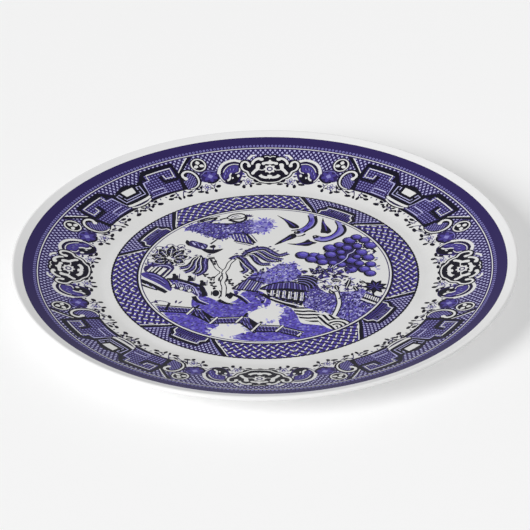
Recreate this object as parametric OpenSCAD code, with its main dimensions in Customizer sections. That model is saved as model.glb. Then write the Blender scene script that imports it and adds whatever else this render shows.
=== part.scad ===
// China dinner plate with a printed blue chinoiserie decoration.
// The plate is turned about the Z axis and stands on z = 0, with its face up.
// Its fired body is coated with glaze, and the printed transfers are sunk flush
// into the glaze of the face, as in-glaze decoration is.

/* [Plate] */
// Diameter over the lip
plate_d = 267; // [260:1:290]
// Diameter of the flat part of the well
well_d = 170; // [166:1:174]
// Slope of the rim where it leaves the well, degrees
rim_slope_in = 8.5; // [7:0.5:11]
// Slope of the rim at the lip, degrees
rim_slope_out = 20.5; // [18:0.5:24]
// Radius of the bend between well and rim
bend_r = 20; // [15:1:30]
// Thickness of the floor, glaze included
floor_t = 5; // [4:0.1:6]
// Thickness of the lip, glaze included
lip_t = 2.4; // [2:0.1:3]

/* [Foot ring] */
// Diameter of the middle of the foot ring
foot_d = 151; // [140:1:152]
// Height of the foot ring below the floor
foot_h = 3.2; // [2.8:0.1:4]
// Width of the foot ring where its side turns upright
foot_w = 3.8; // [3.4:0.1:5]
// Radius between the side of the foot ring and the floor
foot_fillet = 2; // [1:0.1:2.2]
// Rounding of the bare standing edge
foot_edge_r = 0.9; // [0.5:0.1:1]

/* [Glaze and transfers] */
// Thickness of the glaze
glaze_t = 0.35; // [0.3:0.05:0.5]
// Thickness of a transfer, which is sunk into the glaze
print_t = 0.15; // [0.1:0.01:0.2]
// Plain margin between the lip and the solid edge band
margin_w = 5.8; // [4:0.1:8]
// Width of the solid edge band
band_w = 4.9; // [3:0.1:6]
// Width of the row of beads
bead_w = 4; // [3:0.1:5]
// Width of the rim border
border_w = 30.3; // [24:0.1:32]
// Outer radius of the well border
well_border_r = 81.6; // [78:0.2:84]
// Width of the well border
well_border_w = 14.6; // [10:0.2:18]
// Width of the ring round the centre scene, its line and its white margin
ring_w = 1.6; // [0.6:0.1:2]
// Angle that the rim border is turned by, degrees
border_turn = -2; // [-45:1:45]
// Angle that the joints of the well border are turned by, degrees
well_turn = 11; // [-45:1:45]

/* [Hidden] */
$fn = 180;

// Number of straight steps along each curved stretch of the outline
bend_steps = 6;
rim_steps = 10;
lip_steps = 12;
fillet_steps = 8;
edge_steps = 6;

well_r = well_d / 2;
bend_end_r = well_r + bend_r * sin(rim_slope_in);
rim_end_r = plate_d / 2 - lip_t / 2 * (1 + sin(rim_slope_out));
rim_curve_r = (rim_end_r - bend_end_r) / (sin(rim_slope_out) - sin(rim_slope_in));
well_z = foot_h + floor_t;
bend_end_z = well_z + bend_r * (1 - cos(rim_slope_in));

foot_c = foot_d / 2;
foot_root_w = foot_w / 2 + foot_fillet;
bare_z = foot_h - foot_fillet;

band_r = plate_d / 2 - margin_w;
bead_r = band_r - band_w;
border_r = bead_r - bead_w;
border_in_r = border_r - border_w;
well_border_in_r = well_border_r - well_border_w;
scene_r = well_border_in_r - ring_w;

biscuit_colour = [0.90, 0.88, 0.84];
glaze_colour = [0.93, 0.93, 0.93];
print_colour = [0.22, 0.17, 0.42];
border_colours = [[0.36, 0.34, 0.62], [0.42, 0.40, 0.66]];
scene_colour = [0.55, 0.56, 0.76];

// Radii where the outline of the face has a point
face_stops = concat(
  [0, well_r],
  [for (i = [1:bend_steps]) well_r + bend_r * sin(rim_slope_in * i / bend_steps)],
  [for (i = [1:rim_steps]) bend_end_r + (rim_end_r - bend_end_r) * i / rim_steps]
);

// Slope of the face at a radius
function slope_at(r) =
  r <= well_r ? 0
  : r <= bend_end_r ? asin((r - well_r) / bend_r)
  : asin(sin(rim_slope_in) + (r - bend_end_r) / rim_curve_r);

// Height of the face at a radius
function face_z(r) =
  r <= well_r ? well_z
  : r <= bend_end_r ? well_z + bend_r * (1 - cos(slope_at(r)))
  : bend_end_z + rim_curve_r * (cos(rim_slope_in) - cos(slope_at(r)));

// Whole thickness of the plate at a radius
function thickness_at(r) =
  floor_t + (lip_t - floor_t) * max(0, (r - well_r) / (rim_end_r - well_r));

// Point that lies the depth t straight below the face at radius r
function face_pt(r, t) = [r + t * sin(slope_at(r)), face_z(r) - t * cos(slope_at(r))];

function reversed(list) = [for (i = [len(list) - 1:-1:0]) list[i]];

function radii_between(r0, r1) =
  concat([r0], [for (r = face_stops) if (r > r0 && r < r1) r], [r1]);

function arc(c, r, a0, a1, steps) =
  [for (i = [0:steps]) c + r * [cos(a0 + (a1 - a0) * i / steps), sin(a0 + (a1 - a0) * i / steps)]];

// The outline runs along the face, round the lip, under the rim and over the
// foot ring to the axis. Each stretch can be set back into the plate by t.
function face_line(r0, r1, t) = [for (r = radii_between(r0, r1)) face_pt(r, t)];

function lip_line(t) =
  arc(face_pt(rim_end_r, lip_t / 2), lip_t / 2 - t,
      90 + rim_slope_out, -90 + rim_slope_out, lip_steps);

function back_line(t) =
  reversed([for (r = radii_between(foot_c + foot_root_w, rim_end_r)) face_pt(r, thickness_at(r) - t)]);

// One side of the foot ring from its root to the bare edge; side is 1 outside, -1 inside
function foot_side(side, t) =
  [for (p = arc([0, 0], foot_fillet + t, 90, 180, fillet_steps))
    [foot_c + side * (foot_root_w + p[0]), bare_z + p[1]]];

// The bare standing edge, from one side of the foot ring to the other
function foot_edge(side) =
  [for (p = arc([0, 0], foot_edge_r, 0, -90, edge_steps))
    [foot_c + side * (foot_w / 2 - glaze_t - foot_edge_r + p[0]), foot_edge_r + p[1]]];

function outer_line(t) = concat(lip_line(t), back_line(t), foot_side(1, t));
function inner_line(t) = concat(reversed(foot_side(-1, t)), [[0, foot_h + t]]);

// Ring between two radii, from the depth t0 to the depth t1 below the face
module face_ring(r0, r1, t0, t1, from_a = 0, sweep_a = 360) {
  rotate_extrude(angle = sweep_a, start = from_a)
    polygon(concat(face_line(r0, r1, t0), reversed(face_line(r0, r1, t1))));
}

// Fired clay: floor, rim and foot ring in one piece, bare only on its standing edge
module biscuit_body() {
  color(biscuit_colour)
    rotate_extrude()
      polygon(concat(
        face_line(0, rim_end_r, glaze_t),
        outer_line(glaze_t),
        foot_edge(1),
        reversed(foot_edge(-1)),
        inner_line(glaze_t)
      ));
}

// Glaze over the face, the lip and the back, down to the outside of the foot ring
module face_glaze() {
  color(glaze_colour)
    rotate_extrude()
      polygon(concat(
        face_line(0, well_border_r, print_t),
        face_line(well_border_r, border_in_r, 0),
        face_line(border_in_r, band_r, print_t),
        face_line(band_r, rim_end_r, 0),
        outer_line(0),
        reversed(outer_line(glaze_t)),
        reversed(face_line(0, rim_end_r, glaze_t))
      ));
}

// Glaze of the base, inside the foot ring
module base_glaze() {
  color(glaze_colour)
    rotate_extrude()
      polygon(concat(inner_line(0), reversed(inner_line(glaze_t))));
}

// Solid dark band near the lip
module edge_band() {
  color(print_colour) face_ring(bead_r, band_r, 0, print_t);
}

// Row of beads inside the edge band
module bead_line() {
  color(scene_colour) face_ring(border_r, bead_r, 0, print_t);
}

// One of the four lengths of the rim border, centred on the angle
module rim_border(centre_a) {
  color(border_colours[centre_a / 90 % 2])
    face_ring(border_in_r, border_r, 0, print_t, border_turn + centre_a - 45, 90);
}

// One of the four lengths of the well border, from the joint at its start
module well_border(quarter) {
  color(border_colours[quarter % 2])
    face_ring(well_border_in_r, well_border_r, 0, print_t, well_turn + 90 * quarter, 90);
}

// Line round the centre scene
module ring_line() {
  color(print_colour) face_ring(scene_r, well_border_in_r, 0, print_t);
}

// Printed scene that fills the middle of the well
module centre_scene() {
  color(scene_colour) face_ring(0, scene_r, 0, print_t);
}

biscuit_body();
face_glaze();
base_glaze();
edge_band();
bead_line();
rim_border(0);  // rim_border_east
rim_border(90);  // rim_border_north
rim_border(180);  // rim_border_west
rim_border(270);  // rim_border_south
well_border(0);  // well_border_northeast
well_border(1);  // well_border_northwest
well_border(2);  // well_border_southwest
well_border(3);  // well_border_southeast
ring_line();
centre_scene();
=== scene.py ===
"""China dinner plate: its printed blue decoration, its glaze and its clay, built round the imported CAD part.

The decoration is drawn as vector art in millimetres and cut into one flush, closed sheet for each transfer.
Border art is drawn unrolled: x runs along the circle UNROLL_R or WELL_UNROLL_R and y is the radius.
Scene art is drawn from above: x to the right and y to the top of the scene.
"""
import math
import random
from contextlib import contextmanager

import bmesh
import bpy
import numpy as np
from mathutils import Matrix, Vector
from mathutils.geometry import delaunay_2d_cdt


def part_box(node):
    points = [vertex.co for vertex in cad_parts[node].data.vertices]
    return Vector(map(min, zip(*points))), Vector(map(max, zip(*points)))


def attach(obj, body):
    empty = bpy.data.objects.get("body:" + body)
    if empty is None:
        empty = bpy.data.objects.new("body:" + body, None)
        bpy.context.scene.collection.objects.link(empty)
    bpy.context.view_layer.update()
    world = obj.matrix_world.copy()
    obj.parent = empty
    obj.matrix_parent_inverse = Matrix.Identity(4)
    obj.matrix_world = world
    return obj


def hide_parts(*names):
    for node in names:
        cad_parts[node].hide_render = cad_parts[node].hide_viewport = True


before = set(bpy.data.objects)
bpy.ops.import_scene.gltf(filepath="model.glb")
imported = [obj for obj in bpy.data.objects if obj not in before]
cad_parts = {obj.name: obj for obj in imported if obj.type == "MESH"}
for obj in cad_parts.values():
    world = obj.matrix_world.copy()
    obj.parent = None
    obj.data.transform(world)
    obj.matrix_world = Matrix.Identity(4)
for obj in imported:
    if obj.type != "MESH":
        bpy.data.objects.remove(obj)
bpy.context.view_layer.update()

MM = 0.001


def outer_radius(node):
    """Radius in millimetres of the outer edge of a transfer's face, which is its highest point."""
    points = [v.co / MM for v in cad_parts[node].data.vertices]
    return round(max((round(p.z, 3), p.xy.length) for p in points)[1], 3)


# ---- sizes in millimetres: outer radii read from the CAD parts, the rest as in the CAD part
PLATE_R = round(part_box("face_glaze")[1].x / MM, 1)
BAND_R = outer_radius("edge_band")
BEAD_R = outer_radius("bead_line")
BORDER_R = outer_radius("rim_border_east")
BORDER_IN_R = 88.5
WELL_BORDER_R = outer_radius("well_border_northeast")
RING_R = outer_radius("ring_line")
SCENE_R = outer_radius("centre_scene")
WELL_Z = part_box("centre_scene")[1].z / MM

WELL_R = 85.0
SLOPE_IN = math.radians(8.5)
SLOPE_OUT = math.radians(20.5)
BEND_R = 20.0
FLOOR_T = 5.0
LIP_T = 2.4
FOOT_C = 75.5
FOOT_H = WELL_Z - FLOOR_T
FOOT_W = 3.8
FOOT_FILLET = 2.0
FOOT_EDGE_R = 0.9
GLAZE_T = 0.35
PRINT_T = 0.15
# a printed sheet is a little thinner than its bed in the glaze
SHEET_T = 0.14
# centre of the east length of the rim border and of the northeast one of the well border, in degrees
BORDER_TURN = -2.0
WELL_TURN = 56.0

BEND_END_R = WELL_R + BEND_R * math.sin(SLOPE_IN)
BEND_END_Z = WELL_Z + BEND_R * (1 - math.cos(SLOPE_IN))
RIM_END_R = PLATE_R - LIP_T / 2 * (1 + math.sin(SLOPE_OUT))
RIM_CURVE_R = (RIM_END_R - BEND_END_R) / (math.sin(SLOPE_OUT) - math.sin(SLOPE_IN))
FOOT_ROOT_W = FOOT_W / 2 + FOOT_FILLET

# widest gap between points along the face, and straight steps along each other stretch of an outline
FACE_STEP = 1.0
LIP_STEPS = 24
BACK_STEPS = 50
FILLET_STEPS = 12
EDGE_STEPS = 8

# a border is eight half units round the plate, each of them HALF or WELL_HALF long when it is unrolled
HALF_UNITS = 8
HALF_STEPS = 64
TURN_STEPS = HALF_UNITS * HALF_STEPS
UNROLL_R = 104.0
HALF = UNROLL_R * 2 * math.pi / HALF_UNITS
WELL_UNROLL_R = 74.0
WELL_HALF = WELL_UNROLL_R * 2 * math.pi / HALF_UNITS
BEADS = 47

# points of an outline nearer than this are one point, and edges sharper than this (degrees) look sharp
SAME_PLACE = 1e-6
SHARP_ANGLE = 35
# longest side of a shape and widest gap between points when a drawing is cut up
GRID = 3.0
# shapes below this area are left out, and points nearer than this are joined
SMALLEST_AREA = 0.004
SMALLEST_GAP = 1e-3


# ---- the plate's outline -----------------------------------------------------
def slope_at(r):
    """Slope of the face at a radius, in radians."""
    if r <= WELL_R:
        return 0.0
    if r <= BEND_END_R:
        return math.asin((r - WELL_R) / BEND_R)
    return math.asin(math.sin(SLOPE_IN) + (r - BEND_END_R) / RIM_CURVE_R)


def face_z(r):
    """Height of the face at a radius."""
    if r <= WELL_R:
        return WELL_Z
    if r <= BEND_END_R:
        return WELL_Z + BEND_R * (1 - math.cos(slope_at(r)))
    return BEND_END_Z + RIM_CURVE_R * (math.cos(SLOPE_IN) - math.cos(slope_at(r)))


def face_point(r, depth):
    """Point that lies some depth below the face, square to it."""
    slope = slope_at(r)
    return (r + depth * math.sin(slope), face_z(r) - depth * math.cos(slope))


def thickness_at(r):
    """Whole thickness of the plate at a radius."""
    return FLOOR_T + (LIP_T - FLOOR_T) * max(0, (r - WELL_R) / (RIM_END_R - WELL_R))


def face_line(r0, r1, depth):
    """Outline along the face between two radii, set back by a depth."""
    count = max(1, math.ceil((r1 - r0) / FACE_STEP))
    return [face_point(r0 + (r1 - r0) * i / count, depth) for i in range(count + 1)]


def arc(x, z, radius, start, end, steps):
    """Outline points on an arc; angles in degrees."""
    angles = [math.radians(start + (end - start) * i / steps) for i in range(steps + 1)]
    return [(x + radius * math.cos(a), z + radius * math.sin(a)) for a in angles]


def lip_line(depth):
    """Outline round the lip, from the face to the back."""
    x, z = face_point(RIM_END_R, LIP_T / 2)
    tilt = math.degrees(SLOPE_OUT)
    return arc(x, z, LIP_T / 2 - depth, 90 + tilt, -90 + tilt, LIP_STEPS)


def back_line(depth):
    """Outline under the rim, from the lip to the root of the foot ring."""
    radii = np.linspace(RIM_END_R, FOOT_C + FOOT_ROOT_W, BACK_STEPS)
    return [face_point(r, thickness_at(r) - depth) for r in radii]


def foot_side(side, depth):
    """Outline down one side of the foot ring; side is 1 outside and -1 inside."""
    path = arc(0, 0, FOOT_FILLET + depth, 90, 180, FILLET_STEPS)
    return [(FOOT_C + side * (FOOT_ROOT_W + x), FOOT_H - FOOT_FILLET + z) for x, z in path]


def foot_edge(side):
    """Outline of half the bare standing edge."""
    path = arc(0, 0, FOOT_EDGE_R, 0, -90, EDGE_STEPS)
    reach = FOOT_W / 2 - GLAZE_T - FOOT_EDGE_R
    return [(FOOT_C + side * (reach + x), FOOT_EDGE_R + z) for x, z in path]


def outer_line(depth):
    """Outline from the lip to the bare edge, outside the foot ring."""
    return lip_line(depth) + back_line(depth) + foot_side(1, depth)


def inner_line(depth):
    """Outline from the bare edge to the axis, inside the foot ring."""
    return foot_side(-1, depth)[::-1] + [(0, FOOT_H + depth)]


def body_outline():
    """Closed outline of the fired clay."""
    edge = foot_edge(1) + foot_edge(-1)[::-1]
    return face_line(0, RIM_END_R, GLAZE_T) + outer_line(GLAZE_T) + edge + inner_line(GLAZE_T)


def face_glaze_outline():
    """Closed outline of the glaze, with the beds of the transfers in its face."""
    top = face_line(0, WELL_BORDER_R, PRINT_T) + face_line(WELL_BORDER_R, BORDER_IN_R, 0)
    top += face_line(BORDER_IN_R, BAND_R, PRINT_T) + face_line(BAND_R, RIM_END_R, 0)
    under = face_line(0, RIM_END_R, GLAZE_T) + outer_line(GLAZE_T)
    return top + outer_line(0) + under[::-1]


def base_glaze_outline():
    """Closed outline of the glaze inside the foot ring."""
    return inner_line(0) + inner_line(GLAZE_T)[::-1]


# ---- meshes ------------------------------------------------------------------
def new_piece(name, verts, faces, materials, node):
    """A piece of the plate, from millimetre points, that stands for a CAD node."""
    mesh = bpy.data.meshes.new(name)
    mesh.from_pydata([(x * MM, y * MM, z * MM) for x, y, z in verts], [], faces)
    for material in materials:
        mesh.materials.append(material)
    piece = bpy.data.objects.new(name, mesh)
    bpy.context.scene.collection.objects.link(piece)
    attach(piece, "root")
    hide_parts(node)
    return piece


def without_repeats(outline):
    """An outline with no two points in a row in one place, its end and start among them."""
    kept = []
    for point in outline:
        if not kept or math.dist(point, kept[-1]) > SAME_PLACE:
            kept.append(point)
    if math.dist(kept[0], kept[-1]) < SAME_PLACE:
        kept.pop()
    return kept


def lathe(name, outline, material, node):
    """A body turned about the Z axis from a closed outline of (radius, height)."""
    outline = without_repeats(outline)
    verts, rings = [], []
    turns = [2 * math.pi * k / TURN_STEPS for k in range(TURN_STEPS)]
    for r, z in outline:
        first = len(verts)
        if r < SAME_PLACE:
            verts.append((0, 0, z))
            rings.append([first] * TURN_STEPS)
        else:
            verts += [(r * math.cos(a), r * math.sin(a), z) for a in turns]
            rings.append(list(range(first, first + TURN_STEPS)))
    faces = []
    for ring, after in zip(rings, rings[1:] + rings[:1]):
        if ring[0] == ring[1] and after[0] == after[1]:
            continue
        for k in range(TURN_STEPS):
            n = (k + 1) % TURN_STEPS
            corners = [ring[k], after[k], after[n], ring[n]]
            faces.append(tuple(dict.fromkeys(corners)))
    piece = new_piece(name, verts, faces, [material], node)
    piece.data.shade_smooth()
    piece.data.set_sharp_from_angle(angle=math.radians(SHARP_ANGLE))
    return piece


# ---- drawing kit -------------------------------------------------------------
TONES = ("white", "pale", "wash", "sky", "blue", "navy", "ink")


def direction(angle):
    """Cosine and sine of an angle in degrees."""
    return math.cos(math.radians(angle)), math.sin(math.radians(angle))


def curve(points, closed=False, steps=3):
    """Points along a smooth curve through the given points."""
    count = len(points)
    path = []
    for i in range(count if closed else count - 1):
        if closed:
            near = [points[(i + k - 1) % count] for k in range(4)]
        else:
            near = [points[min(max(i + k - 1, 0), count - 1)] for k in range(4)]
        for j in range(steps):
            t = j / steps
            weights = (t * (-0.5 + t * (1 - 0.5 * t)), 1 + t * t * (1.5 * t - 2.5),
                t * (0.5 + t * (2 - 1.5 * t)), t * t * (0.5 * t - 0.5))
            path.append(tuple(sum(w * p[axis] for w, p in zip(weights, near)) for axis in (0, 1)))
    if not closed:
        path.append(tuple(points[-1]))
    return path


class Art:
    """Shapes painted in order. Each has a tone, an outline in millimetres and maybe a mask."""

    def __init__(self):
        self.shapes = []
        self.mask = None
        self.masks = 0

    @contextmanager
    def inside(self, *regions):
        """Shapes that are drawn in this block show only inside the regions."""
        outer = self.mask
        self.masks += 1
        self.shapes += [("mask", region, self.masks) for region in regions]
        self.mask = self.masks
        yield
        self.mask = outer

    def fill(self, tone, points):
        """A shape of one tone from its outline."""
        self.shapes.append((tone, points, self.mask))

    def box(self, tone, x0, y0, x1, y1):
        """An upright box between two corners."""
        self.fill(tone, [(x0, y0), (x1, y0), (x1, y1), (x0, y1)])

    def blob(self, tone, points, steps=3):
        """A shape whose edge runs smoothly through the points."""
        self.fill(tone, curve(points, True, steps))

    def oval(self, tone, x, y, rx, ry=None, turn=0, sides=12):
        """An oval with two radii, or a circle if only one is given."""
        ry = rx if ry is None else ry
        c, s = direction(turn)
        ring = [2 * math.pi * i / sides for i in range(sides)]
        ring = [(rx * math.cos(a), ry * math.sin(a)) for a in ring]
        self.fill(tone, [(x + u * c - v * s, y + u * s + v * c) for u, v in ring])

    def line(self, tone, points, w0, w1=None, steps=3):
        """A stroke along a smooth curve, w0 wide at its start and w1 at its end."""
        w1 = w0 if w1 is None else w1
        path = curve(points, steps=steps) if len(points) > 2 else points
        last = len(path) - 1
        left, right = [], []
        for i, (x, y) in enumerate(path):
            (ax, ay), (bx, by) = path[max(i - 1, 0)], path[min(i + 1, last)]
            dx, dy = bx - ax, by - ay
            half = (w0 + (w1 - w0) * i / last) / 2 / (math.hypot(dx, dy) or 1)
            left.append((x - dy * half, y + dx * half))
            right.append((x + dy * half, y - dx * half))
        for i in range(last):
            self.fill(tone, [left[i], right[i], right[i + 1], left[i + 1]])

    def lines(self, tone, paths, w0, w1=None):
        """Strokes of one kind along several curves."""
        for path in paths:
            self.line(tone, path, w0, w1)

    def layers(self, path, *strokes):
        """Strokes on top of one another along one curve: (tone, width, maybe a width at the end)."""
        for tone, *widths in strokes:
            self.line(tone, path, *widths)

    def leaf(self, tone, x, y, angle, length, width):
        """A pointed leaf that grows from (x, y)."""
        c, s = direction(angle)
        side = ((0.25, 0.42), (0.55, 0.5), (0.85, 0.22)) if length > 4 else ((0.3, 0.5), (0.7, 0.42))
        outline = [(0, 0), *side, (1, 0), *[(u, -v) for u, v in side[::-1]]]
        placed = []
        for u, v in outline:
            px, py = u * length, v * width
            placed.append((x + px * c - py * s, y + px * s + py * c))
        self.fill(tone, placed)

    def lattice(self, region, box, pitch, lozenge, tone):
        """Dark trellis with light lozenges, inside a region."""
        x0, y0, x1, y1 = box
        dx, dy = pitch
        w, h = lozenge[0] / 2, lozenge[1] / 2
        self.fill("navy", region)
        with self.inside(region):
            for i in range(int((x1 - x0) / (dx / 2)) + 1):
                x = x0 + i * dx / 2
                for j in range(int((y1 - y0) / dy) + 2):
                    y = y0 + (j + (i % 2) / 2) * dy
                    self.fill(tone, [(x - w, y), (x, y - h), (x + w, y), (x, y + h)])


def area_of(points):
    """Area inside an outline, which is positive if it runs counter-clockwise."""
    return sum(a[0] * b[1] - b[0] * a[1] for a, b in zip(points, points[1:] + points[:1])) / 2


def with_short_sides(points):
    """An outline whose sides are no longer than GRID, so that they follow the plate when rolled up."""
    path = []
    for (ax, ay), (bx, by) in zip(points, points[1:] + points[:1]):
        steps = math.ceil(math.hypot(bx - ax, by - ay) / GRID)
        path += [(ax + (bx - ax) * i / steps, ay + (by - ay) * i / steps) for i in range(steps)]
    return path


def cut(art, region, base="white"):
    """Cuts a drawing into triangles inside a region: its points, its triangles, and each one's tone."""
    outlines, kinds = [region], [(base, None)]
    for tone, points, mask in art.shapes:
        area = area_of(points)
        if abs(area) > SMALLEST_AREA:
            outlines.append(with_short_sides(points if area > 0 else points[::-1]))
            kinds.append((tone, mask))
    verts, loops = [], []
    for points in outlines:
        loops.append(list(range(len(verts), len(verts) + len(points))))
        verts += [Vector(p) for p in points]
    xs, ys = zip(*region)
    for i in range(1, math.ceil((max(xs) - min(xs)) / GRID)):
        for j in range(1, math.ceil((max(ys) - min(ys)) / GRID)):
            verts.append(Vector((min(xs) + i * GRID, min(ys) + j * GRID)))
    inside_only = 1
    points, _, triangles, _, _, covers = delaunay_2d_cdt(verts, [], loops, inside_only, SMALLEST_GAP, True)
    kept, tones = [], []
    for triangle, over in zip(triangles, covers):
        if 0 not in over:
            continue
        masks = {None} | {kinds[k][1] for k in over if kinds[k][0] == "mask"}
        shown = [k for k in over if kinds[k][0] != "mask" and kinds[k][1] in masks]
        kept.append(tuple(triangle))
        tones.append(TONES.index(kinds[max(shown)][0]))
    return [tuple(p) for p in points], kept, tones


def simplified(drawing):
    """A flat drawing whose triangles of one tone are joined and cut up afresh, into fewer."""
    points, triangles, tones = drawing
    mesh = bmesh.new()
    corners = [mesh.verts.new((x, y, 0)) for x, y in points]
    for triangle, tone in zip(triangles, tones):
        mesh.faces.new([corners[k] for k in triangle]).material_index = tone
    bmesh.ops.delete(mesh, geom=[v for v in mesh.verts if not v.link_faces], context="VERTS")
    bmesh.ops.dissolve_limit(mesh, angle_limit=0.01, verts=mesh.verts, edges=mesh.edges,
        delimit={"MATERIAL"})
    bmesh.ops.triangulate(mesh, faces=mesh.faces)
    mesh.verts.index_update()
    points = [(v.co.x, v.co.y) for v in mesh.verts]
    triangles = [tuple(v.index for v in f.verts) for f in mesh.faces]
    tones = [f.material_index for f in mesh.faces]
    mesh.free()
    return points, triangles, tones


# ---- printed sheets ----------------------------------------------------------
def unrolled_region(r0, r1, half):
    """Outline of half a unit of a border in its unrolled drawing."""
    xs = [half * i / HALF_STEPS for i in range(HALF_STEPS + 1)]
    return [(x, r0) for x in xs] + [(x, r1) for x in reversed(xs)]


def rolled(centre, sign, unroll_r):
    """Maps a border drawing to the plate, from the angle of its centre and one way round."""
    return lambda x, y: (y, math.radians(centre) + sign * x / unroll_r)


def from_above(x, y):
    """Maps the scene drawing to the plate."""
    return math.hypot(x, y), math.atan2(y, x)


def both_halves(centres, unroll_r):
    """Where a border's half unit and its mirror image go, round each centre; the first is turned over."""
    return [(rolled(c, sign, unroll_r), sign > 0) for c in centres for sign in (1, -1)]


def sheet(name, drawing, spots, materials):
    """A closed, thin sheet that lies in its bed in the glaze, its face flush with the glaze."""
    points, triangles, tones = drawing
    index, face_side, back_side, normals, faces, slots = {}, [], [], [], [], []
    for to_plate, flipped in spots:
        places = []
        for x, y in points:
            r, angle = to_plate(x, y)
            c, s = math.cos(angle), math.sin(angle)
            key = (round(r * c, 4), round(r * s, 4))
            if key not in index:
                index[key] = len(face_side)
                z, slope = face_z(r), slope_at(r)
                normal = (-math.sin(slope) * c, -math.sin(slope) * s, math.cos(slope))
                face_side.append((r * c, r * s, z))
                back_side.append(tuple(p - SHEET_T * n for p, n in zip(face_side[-1], normal)))
                normals.append(normal)
            places.append(index[key])
        for triangle, tone in zip(triangles, tones):
            a, b, c = (places[k] for k in triangle)
            if len({a, b, c}) == 3:
                faces.append((c, b, a) if flipped else (a, b, c))
                slots.append(tone)
    count = len(face_side)
    edges = {(f[i], f[(i + 1) % 3]): tone for f, tone in zip(faces, slots) for i in range(3)}
    rim = [(a, b, tone) for (a, b), tone in edges.items() if (b, a) not in edges]
    back = [(c + count, b + count, a + count) for a, b, c in faces]
    walls = [(b, a, a + count, b + count) for a, b, _ in rim]
    piece = new_piece(name + "_print", face_side + back_side, faces + back + walls, materials, name)
    mesh = piece.data
    mesh.polygons.foreach_set("material_index", slots * 2 + [tone for _, _, tone in rim])
    smooth = [True] * (2 * len(faces)) + [False] * len(walls)
    mesh.polygons.foreach_set("use_smooth", smooth)
    shading = [normals[k] for f in faces for k in f]
    shading += [tuple(-n for n in normals[k - count]) for f in back for k in f]
    shading += [(0, 0, 0)] * (4 * len(walls))
    mesh.normals_split_custom_set(shading)
    return piece


# ---- rim border: half a unit, from the medallion to the middle fret -----------
def medallion(art):
    """Right half of the dark cloud medallion with its scroll hooks."""
    art.blob("ink", [(0, 114.6), (2.4, 114.9), (4.4, 113.9), (7, 113.3), (9.4, 111.3), (10.6, 110.6),
        (12.2, 111.6), (14.6, 111.4), (16.4, 109), (16.6, 105.6), (15.3, 102.6), (13.5, 101), (13, 99),
        (11.4, 96.8), (9, 95.4), (7.6, 94), (5.8, 92.6), (3, 92), (0, 91.6), (-5, 92), (-5, 114)])
    # white outline with its hook
    art.line("white", [(11.3, 107), (11.7, 109.2), (13.3, 110.2), (14.9, 109), (15.4, 106.2),
        (14.5, 103.8), (12.6, 102.3), (12, 100.2), (10.7, 98), (8.7, 96.7), (7.2, 95.4), (5.7, 94),
        (3, 93.2), (0, 92.9)], 1.3, 0.75)
    art.oval("white", 11.3, 107, 1.05, 1.3)
    art.line("white", [(-0.6, 113), (0, 112.9), (1.3, 113.7), (2.8, 113.4)], 0.5)
    # clouds on the shoulder
    art.line("white", [(4.2, 111.3), (5.3, 112.2), (7.3, 111.6), (8.9, 109.8), (9.6, 107.8)], 1.9, 1.2)
    art.oval("white", 4.5, 111.6, 1.2)
    art.line("white", [(7.6, 114.6), (9.2, 114.4), (10.6, 113), (11.2, 111.9)], 1.0, 1.7)
    # moustache, spike and side forms
    art.blob("white", [(0, 111.2), (0.9, 110), (2.4, 109.5), (3.9, 109.2), (4.4, 107.9), (3.3, 107.2),
        (2.1, 108), (0.9, 107.7), (0, 107.9), (-2, 108.5), (-2, 110)])
    art.line("white", [(6.3, 107.6), (6.6, 106), (6.8, 104.2), (8.2, 102.9), (9.3, 101.4)], 2.3, 1.7)
    art.oval("white", 6.2, 107.4, 1.25, 1.1)
    art.oval("white", 9.5, 101.1, 1.05, 1.3, 20)
    art.line("white", [(6.8, 104), (5, 103.3), (3, 103.3)], 0.6)
    art.line("white", [(-1, 97.3), (0.5, 97.4), (2.4, 97.2), (4.4, 97.9), (5.6, 99.3)], 1.6, 2.2)
    art.fill("white", [(-0.8, 97.5), (0.8, 97.5), (1.5, 99), (0, 99.4), (-1.5, 99)])
    art.fill("white", [(-1, 97.2), (1, 97.2), (0, 95.7)])
    # rosette
    for a in range(-90, 91, 45):
        art.leaf("white", 0, 104, a, 3.6, 2.2)
    art.oval("white", 0, 104, 2.5)
    art.oval("navy", 0, 104, 1.75, sides=16)
    art.oval("white", 0, 104, 0.95, sides=10)
    art.oval("ink", 0, 91.9, 1.6, 0.8)


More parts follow.
